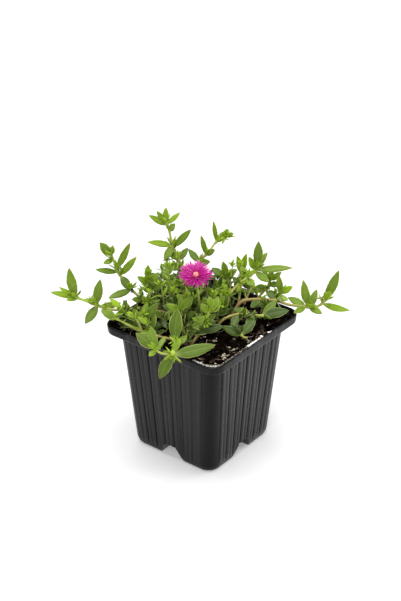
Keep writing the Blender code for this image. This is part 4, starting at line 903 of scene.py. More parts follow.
def smooth_route(points, steps):
    """Points along a smooth curve through a route's own points."""
    padded = [points[0]] + points + [points[-1] * 2.0 - points[-2]]
    route = [points[0]]
    for a, b, c, d in zip(padded, padded[1:], padded[2:], padded[3:]):
        for step in range(1, steps + 1):
            t = step / steps
            curve = b * 2.0 + (c - a) * t + (a * 2.0 - b * 5.0 + c * 4.0 - d) * t**2
            route.append(0.5 * (curve + (b * 3.0 - a - c * 3.0 + d) * t**3))
    return route


def soil_height(x, y):
    """Height of the soil at a place: a low mound with uneven lumps."""
    mound = 1.3 * MM * math.cos(x / (60.0 * MM)) * math.cos(y / (60.0 * MM))
    swell = 0.45 * MM * math.sin(x / (7.1 * MM) + 1.3) * math.sin(y / (6.3 * MM) + 0.4)
    lumps = 0.25 * MM * math.sin(x / (2.3 * MM) + 2.0 * math.sin(y / (5.0 * MM)))
    return SOIL_TOP - 0.6 * MM + mound + swell + lumps


def crumbs(x, y):
    """Fine relief of the soil at a place, over its smooth mound."""
    place = Vector((x, y, 0.0)) / MM
    coarse = noise.fractal(place * 0.28, 0.8, 2.1, 4)
    cell = noise.voronoi(place * 0.55)[0][0]
    fine = noise.noise(place * 1.1)
    return (0.55 * coarse + 0.55 * (0.45 - cell) + 0.25 * fine) * MM


def soil_top(x, y):
    """Height of the crumbly top of the soil at a place."""
    return soil_height(x, y) + crumbs(x, y)


def rooted_route(place, points, steps):
    """Route that rises straight out of the soil and then follows its points."""
    surface = soil_height(place.x, place.y)
    collar = raised(place, surface + COLLAR)
    return [raised(place, surface - HOLE_DEPTH)] + smooth_route([collar] + points, steps)


def nearest_on(routes, point):
    """Closest point to a given one on any of several routes, a little short of their ends."""
    best = None
    for route in routes:
        last = route[-1] + (route[-2] - route[-1]).normalized() * END_INSET
        inner = route[:-1] + [last]
        for start, end in zip(inner, inner[1:]):
            run = end - start
            share = clamp((point - start).dot(run) / run.length_squared)
            place = start + run * share
            if best is None or (place - point).length < (best - point).length:
                best = place
    return best


def route_length(route):
    """Length of a route."""
    return sum((b - a).length for a, b in zip(route, route[1:]))


def place_along(route, share, last=1.0):
    """Point at a share of a route's steps, and the way that the route runs there."""
    spot = share * (len(route) - 1)
    low = min(int(spot), len(route) - 2)
    start, end = route[low], route[low + 1]
    return between(start, end, min(spot - low, last)), (end - start).normalized()


def share_along(route, point):
    """How far along a route the nearest point to a given one is, 0 to 1."""
    run = 0.0
    best = (1e9, 0.0)
    for start, end in zip(route, route[1:]):
        step = end - start
        share = clamp((point - start).dot(step) / step.length_squared)
        best = min(best, ((start + step * share - point).length, run + step.length * share))
        run += step.length
    return best[1] / run


def corners_of(node):
    """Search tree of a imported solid's corners."""
    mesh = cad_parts[node].data
    tree = KDTree(len(mesh.vertices))
    for vertex in mesh.vertices:
        tree.insert(vertex.co, vertex.index)
    tree.balance()
    return tree


# Room: spheres that stand for what has been placed already


class Room:
    """Spheres of placed leaves and stems, for keeping small leaves clear of them."""

    CELL = 4.0 * MM

    def __init__(self):
        self.cells = {}

    def key(self, point):
        """Cell that holds a point."""
        return tuple(int(math.floor(value / self.CELL)) for value in point)

    def add(self, balls):
        """Fill the room with spheres."""
        for point, radius in balls:
            self.cells.setdefault(self.key(point), []).append((point, radius))

    def free(self, balls):
        """Whether spheres touch none of those in the room."""
        for point, radius in balls:
            for cell in product(*[(at - 1, at, at + 1) for at in self.key(point)]):
                if any((other - point).length < radius + reach for other, reach in self.cells.get(cell, ())):
                    return False
        return True


room = Room()


def leaf_balls(base, tip, width, first=0.3):
    """Spheres along a leaf, from a share of its length to its tip."""
    count = max(3, int((tip - base).length / (2.2 * MM)))
    balls = []
    for index in range(count):
        share = between(first, 0.96, index / (count - 1))
        balls.append((between(base, tip, share), max(0.3 * MM, width * 0.34 * leaf_width(share))))
    return balls


def stem_balls(route, radius):
    """Spheres along a stem."""
    balls = []
    for start, end in zip(route, route[1:]):
        count = max(1, int((end - start).length / (1.6 * MM)))
        balls += [(between(start, end, step / count), radius) for step in range(count)]
    return balls


# Leaves and stems


def shelter(point):
    """How deep in the plant's middle a point lies, for the painted shade of leaves there: none outside it,
    all near the soil.
    """
    reach = max(abs(point.x), abs(point.y))
    return (1.0 - smooth(*SHELTER_HEIGHT, point.z)) * (1.0 - smooth(*SHELTER_REACH, reach))


def leaf_width(share):
    """Share of a leaf's full width at a share of its length."""
    blade = math.sin(math.pi * clamp(share, 0.001, 0.999) ** 0.92) ** 0.82
    foot = 0.36 * (1.0 - share / 0.24)
    return max(blade, foot) if share < 0.24 else blade


def blade_frame(base, tip, face):
    """Axis of a leaf or petal, the way its upper side faces and the way across it."""
    axis = tip - base
    forward = axis.normalized()
    normal = (face - forward * face.dot(forward)).normalized()
    return axis, normal, normal.cross(forward)


def rolled(across, normal, turn):
    """The ways across and out of a blade after a turn about its axis."""
    cos, sin = math.cos(turn), math.sin(turn)
    return across * cos + normal * sin, normal * cos - across * sin


def leaf_section(deep, sides):
    """Points round a leaf's section, two units wide, with a channel of a depth in its top."""
    section = []
    for step in range(sides):
        angle = math.tau * step / sides
        x, rise = math.cos(angle), math.sin(angle)
        if rise > 0.0:
            y = LEAF_CROWN * rise**0.8 - deep * max(0.0, 1.0 - (x / 0.6) ** 2)
        else:
            y = -LEAF_KEEL * abs(rise) ** 0.9
        section.append((x, y))
    return section


def leaf(growth, base, tip, width, face, draw, age, tone):
    """Fleshy pointed leaf: a shallow channel above, a rounded keel below."""
    axis, normal, across = blade_frame(base, tip, face)
    length = axis.length
    # painted shade: deep in the plant's middle a leaf is made darker in tone and older in colour, a broad one
    # less so
    painted_shade = shelter(base + axis * 0.5) * (BROAD_PAINTED_SHADE if width > NARROW_LEAF else 1.0)
    tone *= between(1.0, PAINTED_SHADE_TONE, painted_shade)
    age = clamp(age + 0.6 * painted_shade)
    bow = draw.uniform(-0.01, 0.035) * length
    bend = draw.uniform(-0.03, 0.03) * length
    twist = draw.uniform(-0.35, 0.35)
    rings, sides = SMALL_LEAF_MESH if length < SMALL_LEAF else LEAF_MESH
    section = leaf_section(draw.uniform(0.09, 0.17), sides)
    skin = [base]
    marks = [(0.0, 0.5, tone, age)]
    for ring in range(1, rings):
        share = ring / rings
        spread = width * leaf_width(share) * (1.0 + draw.uniform(-LEAF_RAGGED, LEAF_RAGGED))
        centre = base + axis * share
        centre += normal * (bow * 4.0 * share * (1.0 - share)) + across * (bend * math.sin(math.pi * share))
        side_way, up_way = rolled(across, normal, twist * (share - 0.4))
        skin.append([centre + side_way * (spread * 0.5 * x) + up_way * (spread * y) for x, y in section])
        marks.append([(share, abs(x), tone, age) for x, _ in section])
    growth.rings(skin + [tip], marks + [(1.0, 0.5, tone, age)], LEAF_SLOT)


def stem(growth, route, start_radius, end_radius, tone, sides=STEM_SIDES, old=0.0, nodes=(), slot=STEM_SLOT):
    """Round tapering stem, a little thicker where leaves stand."""
    total = route_length(route)
    run = 0.0
    side = (route[1] - route[0]).normalized().orthogonal().normalized()
    skin = [route[0]]
    marks = [(old, 0.5, tone, 0.0)]
    for index, point in enumerate(route):
        ahead = route[min(index + 1, len(route) - 1)] - route[max(index - 1, 0)]
        forward = ahead.normalized()
        side = (side - forward * side.dot(forward)).normalized()
        share = run / total
        radius = between(start_radius, end_radius, share)
        radius *= 1.0 + 0.3 * sum(math.exp(-(((share - node) * total / (1.1 * MM)) ** 2)) for node in nodes)
        radius *= 1.0 + 0.05 * math.sin(index * 2.1)
        skin.append(circle(point, side, forward.cross(side), radius, sides))
        marks.append([(between(old, 1.0, share), 0.5, tone, 0.0)] * sides)
        if index + 1 < len(route):
            run += (route[index + 1] - point).length
    skin.append(route[-1] + (route[-1] - route[-2]).normalized() * end_radius * 0.6)
    growth.rings(skin, marks + [(1.0, 0.5, tone, 0.0)], slot)


def turned(growth, base, tip, sides, profile, mark, count=24, flute=0.0):
    """Round body between two poles: its profile's rows are shares of its length and radii."""
    skin = [base]
    marks = [mark(0.0)]
    for share, radius in profile:
        skin.append(circle(between(base, tip, share), *sides, radius, count, MM, flute))
        marks.append([mark(share)] * count)
    growth.rings(skin + [tip], marks + [mark(1.0)])


def bud(growth, route, draw, size=1.0, leaves=BUD_LEAVES):
    """Tuft of small bright leaves at the end of a stem."""
    forward = (route[-1] - route[-2]).normalized()
    side = forward.orthogonal().normalized()
    base = route[-1] - forward * 0.5 * MM
    turn = draw.uniform(0.0, math.pi)
    for index in range(leaves):
        outer = index >= 2
        angle = turn + index * math.pi + (math.pi / 2.0 if outer else 0.0)
        spread = math.radians(draw.uniform(14.0, 34.0) + (10.0 if outer else 0.0))
        out, heading = fan(forward, side, angle, spread)
        length = draw.uniform(*BUD_LENGTH) * size
        tip = base + (heading + UP * 0.1).normalized() * length
        width = length * BUD_LEAF_WIDTH
        if room.free(leaf_balls(base, tip, width, 0.7)):
            leaf(growth, base, tip, width, forward - out * 0.8, draw, 0.02, draw.uniform(0.5, 1.0))


def tuft(growth, route, draw, size):
    """Dense tuft of small bright leaves, the outer ones longer and lower."""
    forward = (route[-1] - route[-2]).normalized()
    side = forward.orthogonal().normalized()
    for index in range(TUFT_LEAVES):
        share = index / (TUFT_LEAVES - 1)
        angle = index * GOLDEN_ANGLE + draw.uniform(-0.3, 0.3)
        spread = math.radians(between(6.0, 66.0, share) + draw.uniform(-8.0, 8.0))
        out, heading = fan(forward, side, angle, spread)
        length = draw.uniform(*TUFT_LENGTH) * size * between(0.8, 1.2, share)
        base = route[-1] - forward * 1.6 * MM * share
        tip = base + (heading + UP * 0.15).normalized() * length
        looks = draw.uniform(0.0, 0.12), draw.uniform(0.5, 1.0)
        leaf(growth, base, tip, length * BUD_LEAF_WIDTH, forward - out * 0.8, draw, *looks)


def sprig_route(end, routes):
    """Route to a sprig's end: from the nearest stem, or else straight out of the soil."""
    start = nearest_on(routes, end)
    if (start - end).length > SPRIG_REACH:
        start = Vector((end.x * 0.92, end.y * 0.92, 0.0))
        start.z = soil_height(start.x, start.y) - MM
    middle = between(start, end, 0.55) - raised(end, 0.0) * 0.03
    return smooth_route([start, middle, end], 4)


def grow_sprigs(materials, routes):
    """Short shoots with pairs of leaves and bright tufts."""
    draw = random.Random("sprigs")
    growth = Growth()
    for right, near, up, size in SPRIGS:
        route = sprig_route(seen((right, near, up)), routes)
        stem(growth, route, *SPRIG_RADII, draw.random(), 6, 0.55)
        turn = draw.uniform(0.0, math.pi)
        count = max(1, round(route_length(route) / UNDER_NODE_STEP) - 1)
        for node in range(count):
            place = int(between(0.35, 0.85, node / count) * (len(route) - 1))
            start = route[place]
            forward = (route[place + 1] - start).normalized()
            side = forward.orthogonal().normalized()
            for half in (0.0, math.pi):
                _, heading = fan(forward, side, turn + half, math.radians(draw.uniform(42.0, 66.0)))
                length = draw.uniform(*SPRIG_LEAF) * size
                tip = start + heading * length
                width = length * SPRIG_LEAF_WIDTH
                if room.free(leaf_balls(start, tip, width, 0.5)):
                    looks = draw.uniform(0.1, 0.5), draw.random()
                    leaf(growth, start, tip, width, forward + UP * 0.5, draw, *looks)
                    room.add(leaf_balls(start, tip, width))
            turn += math.pi / 2.0
        tuft(growth, route, draw, size)
    growth.piece("sprigs", materials, "leaf_tissue")


def side_leaves(growth, route, point, draw):
    """Small young leaves round a leaf's foot."""
    _, forward = place_along(route, share_along(route, point))
    side = forward.orthogonal().normalized()
    turn = draw.uniform(0.0, math.tau)
    for index in range(SIDE_LEAVES):
        angle = turn + index * draw.uniform(1.7, 2.6)
        out, heading = fan(forward, side, angle, math.radians(draw.uniform(25.0, 55.0)))
        length = draw.uniform(*SIDE_LENGTH)
        tip = point + (heading + UP * 0.3).normalized() * length
        width = length * SIDE_LEAF_WIDTH
        balls = leaf_balls(point, tip, width, 0.75)
        if room.free(balls):
            looks = draw.uniform(0.0, 0.2), draw.uniform(0.3, 1.0)
            leaf(growth, point, tip, width, forward - out * 0.5, draw, *looks)
            room.add(balls)


def used_tip(corners, start, tips):
    """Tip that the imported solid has, and its scale, among those that were tried."""
    for scale in LEAF_SCALES:
        for tip in tips:
            place = between(start, tip, scale)
            if corners.find(place)[2] < SAME_PLACE:
                return place, scale
    return None, 0.0


def placed_routes(plan):
    """Routes of a shoot's stem and of its branch: as in the solid, and smooth."""
    place = seen((*plan.root, 0.0))
    points = [seen(point) for point in plan.stem]
    coarse = [rooted_route(place, points, 1)]
    fine = [rooted_route(place, points, ROUTE_STEPS)]
    if plan.branch:
        points = [seen(point) for point in plan.branch]
        branch = smooth_route(points, 1)
        branch[0] = nearest_on(coarse, branch[0])
        coarse.append(branch)
        fine.append(smooth_route([nearest_on(fine, points[0])] + points[1:], ROUTE_STEPS))
    return coarse, fine


def placed_leaf(plan_leaf, coarse, fine, corners):
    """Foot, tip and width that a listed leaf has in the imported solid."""
    start = nearest_on(coarse, seen(plan_leaf[:3]))
    aim = seen(plan_leaf[3:6])
    tip, scale = used_tip(corners, start, [aim + TO_ONLOOKER * shift for shift in LEAF_SHIFTS])
    return nearest_on(fine, start), tip, plan_leaf[6] * MM * scale


def grow_placed(name, plan):
    """Fine stem and leaves over a shoot whose leaves are listed."""
    draw = random.Random(name)
    corners = corners_of(name)
    radius = plan.radius * MM
    coarse, fine = placed_routes(plan)
    growth = Growth()
    found = [placed_leaf(row, coarse, fine, corners) for row in plan.leaves]
    shares = [share_along(fine[0], start) for start, _, _ in found]
    stem(growth, fine[0], radius, radius * STEM_TAPER, draw.random(), nodes=shares)
    room.add(stem_balls(fine[0], radius * 0.8))
    for branch in fine[1:]:
        start_share, end_share = BRANCH_RADII
        stem(growth, branch, radius * start_share, radius * end_share, draw.random(), old=0.5)
        room.add(stem_balls(branch, radius * 0.5))
    for (start, tip, width), share in zip(found, shares):
        # broad leaves are older and darker, the more so the flatter they lie: partly their age, partly
        # painted shade against the overhead light they catch
        lying = 1.0 - smooth(*UPRIGHT, (tip - start).normalized().z)
        broad_age_and_painted_shade = 0.6 * smooth(NARROW_LEAF, BROAD_LEAF, width) * between(0.3, 1.0, lying)
        age = clamp(0.7 - 0.4 * smooth(0.4, 1.0, share) + draw.uniform(-0.15, 0.15) + broad_age_and_painted_shade)
        tone = between(0.4, 1.0, draw.random())
        leaf(growth, start, tip, width * SHOOT_LEAF_FULLER, LEAF_FACE, draw, age, tone)
        room.add(leaf_balls(start, tip, width))
    feet = []
    for start, _, _ in found:
        feet.append((start, min(fine, key=lambda route: (nearest_on([route], start) - start).length)))
    return growth, draw, fine, feet


def trim(name, materials, growth, draw, routes, feet):
    """Add the buds and side leaves of a shoot or clump and make its piece."""
    for route in routes:
        bud(growth, route, draw)
    for foot, route in feet:
        side_leaves(growth, route, foot, draw)
    growth.piece("fine_" + name, materials, "leaf_tissue", name)


def is_bare(place):
    """Whether the soil is bare at a place: in the near corner, or past the last stems at the right."""
    right, near = place.dot(RIGHT), place.dot(NEAR)
    corner = right > BARE_CORNER[0] * MM and near > BARE_CORNER[1] * MM
    return corner or right > FILLER_RIGHT_END


def rising_points(root, heading, length, shares):
    """Points of a short stem that leans out from its root and bends upward."""
    return [root + heading * length * share + UP * length * 0.15 * share**2 for share in shares]


def filler_points(root, turn, draw):
    """Points of a short stem that leans to one side of its root and then rises."""
    outward = raised(root, 0.0) / WALL_TOP_HALF
    lean = outward * FILLER_FAN + compass(turn) * draw.uniform(*FILLER_LEAN)
    return rising_points(root, (UP + lean).normalized(), draw.uniform(*FILLER_LENGTH), (0.5, 1.0))


def filler_places(draw):
    """Loose grid of places for roots, clear of the bare corner of the soil."""
    count = int(2.0 * FILLER_REACH / FILLER_GRID) + 1
    first = -(count - 1) / 2.0 * FILLER_GRID
    for row in range(count):
        for column in range(count):
            scatter = Vector((draw.uniform(-1.0, 1.0), draw.uniform(-1.0, 1.0), 0.0)) * FILLER_SCATTER
            place = Vector((first + column * FILLER_GRID, first + row * FILLER_GRID, 0.0)) + scatter
            if not is_bare(place):
                yield place


def has_stem(corners, end):
    """Whether a packed clump has a stem that ends at a place."""
    ring = FILLER_RADIUS * FILLER_TAPER
    near = corners.find_range(end, ring * 1.12)
    return sum(1 for _, _, distance in near if distance > ring * 0.85) >= 2


def clump_leaves(growth, corners, above, route, draw, looks):
    """Fine leaves on one stem of a clump; gives their feet, each with the stem."""
    feet = []
    count = max(1, round(route_length(above) / FILLER_NODE_STEP))
    turn = draw.uniform(0.0, math.pi)
    for node in range(count + 1):
        share = between(0.3, 1.0, node / count)
        start, rise = place_along(above, share, FILLER_LAST)
        side = rise.cross(UP if abs(rise.z) < 0.9 else RIGHT).normalized()
        spread = math.radians(between(*FILLER_LEAF_SPREAD, share))
        size = draw.uniform(*FILLER_LEAF_LENGTH) * between(1.05, 0.8, share)
        for half in (0.0, math.pi):
            angles = [turn + half + change for change in FILLER_TURNS]
            tips = [start + fan(rise, side, angle, spread)[1] * size for angle in angles]
            tip, scale = used_tip(corners, start, tips)
            if tip is None:
                continue
            width = size * FILLER_LEAF_WIDTH * scale
            base = nearest_on([route], start)
            age = clamp(between(0.85, 0.12, smooth(0.2, 1.0, share)) + looks.uniform(-0.15, 0.15))
            fuller = width * CLUMP_LEAF_FULLER
            leaf(growth, base, tip, fuller, rise + UP * 0.5, looks, age, looks.random())
            room.add(leaf_balls(base, tip, width))
            feet.append((base, route))
        turn += math.pi / 2.0
    return feet


def grow_clump(name, place, draw):
    """Fine stems and leaves over one clump, in step with the rule that made its solid."""
    looks = random.Random(name)
    corners = corners_of(name)
    collar = raised(place, soil_height(place.x, place.y) + COLLAR)
    start_turn = draw.uniform(0.0, math.tau)
    growth = Growth()
    fine = []
    feet = []
    for index in range(FILLER_STEMS):
        points = filler_points(collar, start_turn + index * math.tau / FILLER_STEMS, draw)
        if has_stem(corners, points[-1]):
            route = rooted_route(place, points, ROUTE_STEPS)
            fine.append(route)
            stem(growth, route, FILLER_RADIUS, FILLER_RADIUS * FILLER_TAPER, looks.random(), 8, 0.4)
            room.add(stem_balls(route, FILLER_RADIUS * 0.7))
            feet += clump_leaves(growth, corners, [collar] + points, route, draw, looks)
    return growth, looks, fine, feet[::2]


def grow_clumps():
    """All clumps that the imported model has."""
    draw = random.Random(FILLER_SEED)
    roots = [seen((*root, 0.0)) for root in [STALK_ROOT] + [plan.root for plan in SHOOTS.values()]]
    grown = {}
    for index, place in enumerate(filler_places(draw)):
        if any((place - other).length < FILLER_SPACING for other in roots):
            continue
        name = "shoot_middle_%02d" % (index + 1)
        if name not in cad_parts:
            skip_clump(draw)
            continue
        grown[name] = grow_clump(name, place, draw)
        roots.append(place)
    return grown


def skip_clump(draw):
    """Use up the draws of a clump that found no room."""
    draw.uniform(0.0, math.tau)
    for _ in range(FILLER_STEMS):
        draw.uniform(*FILLER_LEAN)
        draw.uniform(*FILLER_LENGTH)


def height_limit(point):
    """Height that the short shoots stay under: lower towards the far side."""
    far = max(0.0, -point.dot(NEAR) - FILLER_SLOPE_START)
    return FILLER_TOP - FILLER_SLOPE * far


def grow_under(materials):
    """Thin shoots with small leaves that fill the gaps between the main ones."""
    draw = random.Random(UNDER_SEED)
    growth = Growth()
    for _ in range(UNDER_TRIES):
        x = draw.uniform(-UNDER_REACH, UNDER_REACH)
        y = draw.uniform(-UNDER_REACH, UNDER_REACH)
        place = Vector((x, y, 0.0))
        turn = draw.uniform(0.0, math.tau)
        length = draw.uniform(*UNDER_LENGTH)
        lean = compass(turn) * draw.uniform(*UNDER_LEAN)
        heading = (UP + lean + place / WALL_TOP_HALF * 0.2).normalized()
        seed = draw.random()
        root = raised(place, soil_height(x, y))
        points = rising_points(root, heading, length, (0.4, 0.75, 1.0))
        low = points[-1].z <= height_limit(points[-1])
        if low and not is_bare(place) and room.free(stem_balls([root + UP * MM] + points, 0.35 * MM)):
            grow_thin(growth, place, points, length, random.Random(seed))
    growth.piece("undergrowth", materials, "leaf_tissue")


def grow_thin(growth, place, points, length, draw):
    """One thin shoot of the undergrowth."""
    route = rooted_route(place, points, 3)
    stem(growth, route, UNDER_RADIUS, UNDER_RADIUS * 0.7, draw.random(), 6, 0.45)
    room.add(stem_balls(route, 0.3 * MM))
    count = max(2, round(length / UNDER_NODE_STEP))
    turn = draw.uniform(0.0, math.pi)
    for node in range(count + 1):
        share = between(0.35, 0.98, node / count)
        start, rise = place_along(route, share)
        side = rise.orthogonal().normalized()
        spread = math.radians(between(66.0, 26.0, share) + draw.uniform(-8.0, 8.0))
        for half in (0.0, math.pi):
            size = draw.uniform(*UNDER_LEAF) * between(1.0, 0.75, share)
            width = size * UNDER_LEAF_WIDTH
            for change in UNDER_TURNS:
                tip = start + fan(rise, side, turn + half + change, spread)[1] * size
                balls = leaf_balls(start, tip, width, 0.4)
                if room.free(balls):
                    age = clamp(between(0.9, 0.15, share) + draw.uniform(-0.2, 0.2))
                    leaf(growth, start, tip, width, rise + UP * 0.5, draw, age, draw.random())
                    room.add(balls)
                    break
        turn += math.pi / 2.0
    bud(growth, route, draw, 0.8, 2)


# Bloom


def bloom_frame():
    """Centre of the bloom, the way it faces, and two directions across it."""
    centre = seen(BLOOM_CENTRE)
    facing = UP * math.cos(BLOOM_TILT) + NEAR * math.sin(BLOOM_TILT)
    return centre, facing, RIGHT, facing.cross(RIGHT)


def bloom_direction(turn, rise):
    """Direction away from the bloom's axis, raised by an angle."""
    _, facing, across, upward = bloom_frame()
    outward = across * math.cos(turn) + upward * math.sin(turn)
    return outward, outward * math.cos(rise) + facing * math.sin(rise)


def petal(growth, base, tip, width, facing, draw, tone):
    """Narrow silky petal that curls a little and ends in a blunt point."""
    axis, normal, across = blade_frame(base, tip, facing)
    curl = draw.uniform(-0.05, 0.09) * axis.length
    sway = draw.uniform(-0.05, 0.05) * axis.length
    roll = draw.uniform(-0.5, 0.5)
    skin = [base]
    marks = [(0.0, 0.5, tone, 0.0)]
    for ring in range(1, PETAL_RINGS):
        share = ring / PETAL_RINGS
        wide = width * (0.42 + 0.58 * smooth(0.0, 0.55, share)) * (1.0 - share**5) ** 0.5
        centre = base + axis * share + normal * curl * share**2 + across * sway * math.sin(math.pi * share)
        side_way, up_way = rolled(across, normal, roll * share)
        loop = []
        for x, y in PETAL_SECTION:
            loop.append(centre + side_way * (wide * 0.5 * x) + up_way * (PETAL_THICKNESS * y))
        skin.append(loop)
        marks.append([(share, 0.5, tone, 0.0)] * len(loop))
    growth.rings(skin + [tip + normal * curl], marks + [(1.0, 0.5, tone, 0.0)])


def grow_petals(material):
    """Rows of many narrow petals round the heart of the bloom, on a low disc."""
    draw = random.Random("petals")
    centre, facing, *sides = bloom_frame()
    growth = Growth()
    for row, (count, reach, rise) in enumerate(PETAL_ROWS):
        for index in range(count):
            angle = (index + 0.5 * (row % 2) + draw.uniform(-0.22, 0.22)) * math.tau / count
            tilt = math.radians(rise + draw.uniform(-4.0, 5.0))
            outward, heading = bloom_direction(angle, tilt)
            base = centre + outward * PETAL_START + facing * (0.15 + 0.2 * row) * MM
            length = BLOOM_RADIUS * reach * draw.uniform(0.84, 1.06) - PETAL_START
            tip = base + heading * length
            width = PETAL_WIDTH * draw.uniform(0.75, 1.1)
            petal(growth, base, tip, width, facing, draw, draw.random())
    low, high = centre - facing * 0.6 * MM, centre + facing * 1.0 * MM
    turned(growth, low, high, sides, BUTTON_PROFILE, lambda share: (0.05 if share else 0.0, 0.5, 0.2, 0.0))
    growth.piece("fine_flower_petals", [material], "petal_tissue", "flower_petals")


def grow_knob(material):
    """Knob of many small anthers in the middle of the bloom."""
    draw = random.Random("anthers")
    centre, facing, across, upward = bloom_frame()
    growth = Growth()
    for index in range(ANTHERS):
        high = 1.0 - 0.92 * (index + 0.5) / ANTHERS
        flat = math.sqrt(1.0 - high * high)
        angle = index * GOLDEN_ANGLE
        out = across * (flat * math.cos(angle)) + upward * (flat * math.sin(angle)) + facing * high
        base = centre + facing * 0.9 * MM + out * 0.3 * MM
        reach = KNOB_RADIUS * draw.uniform(0.85, 1.05)
        anther(growth, base, base + out * reach, draw.random())
    growth.piece("fine_flower_centre", [material], "stamens", "flower_centre")


def anther(growth, base, tip, tone):
    """Thin filament with a rounded head."""
    forward = (tip - base).normalized()
    side = forward.orthogonal().normalized()
    sides = side, forward.cross(side)
    turned(growth, base, tip, sides, ANTHER_PROFILE, lambda share: (share, 0.5, tone, 0.0), 6)


def calyx_mark(share):
    """Marks of the calyx at a share of its height."""
    return (0.4 if share else 0.3, 0.5, 0.3, 0.3)


def grow_stalk(materials):
    """Flower stalk with its calyx, sepals and a pair of small leaves."""
    draw = random.Random("stalk")
    centre, facing, *sides = bloom_frame()
    calyx_top = -DISC_THICKNESS / 2.0 - GAP
    neck = centre + facing * (calyx_top - CALYX_DEPTH + 0.6 * MM)
    points = [seen(point) for point in STALK_POINTS] + [neck]
    route = rooted_route(seen((*STALK_ROOT, 0.0)), points, ROUTE_STEPS)
    growth = Growth()
    stem(growth, route, *STALK_RADII, 0.1, old=0.35)
    room.add(stem_balls(route, STALK_RADII[0]))
    low, high = centre + facing * (calyx_top - CALYX_DEPTH), centre + facing * calyx_top
    turned(growth, low, high, sides, CALYX_PROFILE, calyx_mark, 20, CALYX_FLUTE)
    for index in range(SEPALS):
        outward, heading = bloom_direction((index + 0.3) * math.tau / SEPALS, SEPAL_DROOP)
        base = centre + facing * (calyx_top - 2.2 * MM) + outward * 1.2 * MM
        leaf(growth, base, base + heading * SEPAL_LENGTH, SEPAL_WIDTH, facing, draw, 0.2, draw.random())
    start = nearest_on([route], seen(STALK_NODE))
    for aim in STALK_LEAF_TIPS:
        width = STALK_LEAF_WIDTH * CLUMP_LEAF_FULLER
        leaf(growth, start, seen(aim), width, TO_ONLOOKER, draw, 0.15, draw.random())
        room.add(leaf_balls(start, seen(aim), STALK_LEAF_WIDTH))
    side_leaves(growth, route, seen(STALK_NODE), draw)
    room.add([(centre + facing * -2.0 * MM, 4.0 * MM)])
    for step in range(16):
        outward, _ = bloom_direction(math.tau * step / 16, 0.0)
        for reach in (4.0, 7.0, 10.0):
            room.add([(centre + outward * reach * MM + facing * 0.06 * reach * MM, 2.0 * MM)])
    growth.piece("fine_flower_stalk", materials, "stalk_tissue", "flower_stalk")


# Pot and potting mix


def combine(item, operation, operands):
    """Join, cut or intersect an object with others, then remove those."""
    group = bpy.data.collections.new(item.name + "_operands")
    bpy.context.scene.collection.children.link(group)
    for operand in operands:
        for owner in list(operand.users_collection):
            owner.objects.unlink(operand)
        group.objects.link(operand)
    modifier = item.modifiers.new("Boolean", "BOOLEAN")
    modifier.operation = operation
    modifier.operand_type = "COLLECTION"
    modifier.collection = group
    modifier.solver = "MANIFOLD"
    graph = bpy.context.evaluated_depsgraph_get()
    graph.update()
    result = bpy.data.meshes.new_from_object(item.evaluated_get(graph))
    item.modifiers.clear()
    item.data = result
    for operand in operands:
        bpy.data.objects.remove(operand, do_unlink=True)
    bpy.data.collections.remove(group)


def loft(name, rings):
    """Closed solid through rings of points, with its faces turned outward."""
    builder = bmesh.new()
    rings = [[builder.verts.new(point) for point in ring] for ring in rings]
    for lower, upper in zip(rings, rings[1:]):
        count = len(lower)
        for index in range(count):
            after = (index + 1) % count
            builder.faces.new((lower[index], lower[after], upper[after], upper[index]))
    builder.faces.new(reversed(rings[0]))
    builder.faces.new(rings[-1])
    return object_from(name, builder)


def object_from(name, builder):
    """Make an object from a bmesh, with its faces turned outward."""
    bmesh.ops.recalc_face_normals(builder, faces=builder.faces)
    mesh = bpy.data.meshes.new(name)
    builder.to_mesh(mesh)
    builder.free()
    return add_object(name, mesh)


def wall_share(z):
    """How far up the pot's wall a height is, above its feet."""
    return (z - FOOT_HEIGHT) / (POT_HEIGHT - LIP_DROP - FOOT_HEIGHT)


def wall_half(z):
    """Half width of the pot's outer wall at a height."""
    return between(WALL_FOOT_HALF, WALL_TOP_HALF, wall_share(z))


def wall_corner(z):
    """Corner radius of the pot's outer wall at a height."""
    return between(WALL_FOOT_CORNER, WALL_TOP_CORNER, wall_share(z))


def side_columns():
    """Places across one side of the pot, at its top, with how proud the ribs are there."""
    columns = []
    first = -(RIB_COUNT - 1) / 2.0 * RIB_PITCH
    for index in range(RIB_COUNT):
        columns += [(first + index * RIB_PITCH + place * MM, proud) for place, proud in RIB_PROFILE]
    return columns


def fine_ring(half, z, corner, ribs):
    """Points round the pot at one height: its ribbed sides and round corners."""
    ring = []
    fan_in = wall_half(max(z, FOOT_HEIGHT)) / WALL_TOP_HALF
    straight = half - corner
    columns = side_columns()
    widest = columns[-1][0]
    for quarter in range(4):
        turn = quarter * math.pi / 2.0
        outward = compass(turn)
        along = UP.cross(outward)
        for place, proud in columns:
            at = place * min(fan_in, (straight - 0.3 * MM) / widest)
            wear_and_painted_shade = RIB_WEAR * smooth(-0.3, 0.8, place / widest) if quarter == RIB_WORN_SIDE else 0.0
            ring.append(along * at + outward * (half + RIB_PROUD * proud * ribs * (1.0 - wear_and_painted_shade)) + UP * z)
        centre = (outward + along) * straight
        for step in range(CORNER_COLUMNS + 1):
            angle = turn + step * math.pi / 2.0 / CORNER_COLUMNS
            ring.append(centre + compass(angle) * corner + UP * z)
    return ring


def fine_loft(name, sections):
    """Solid through sections, each a half width, a height, a corner radius and a rib strength."""
    return loft(name, [fine_ring(*section) for section in sections])


def rounded(profile, rounds=2):
    """Cut the corners of a profile, keeping its ends."""
    for _ in range(rounds):
        cut = [profile[0]]
        for low, high in zip(profile, profile[1:]):
            for share in (0.25, 0.75):
                cut.append(tuple(between(a, b, share) for a, b in zip(low, high)))
        profile = cut + [profile[-1]]
    return profile


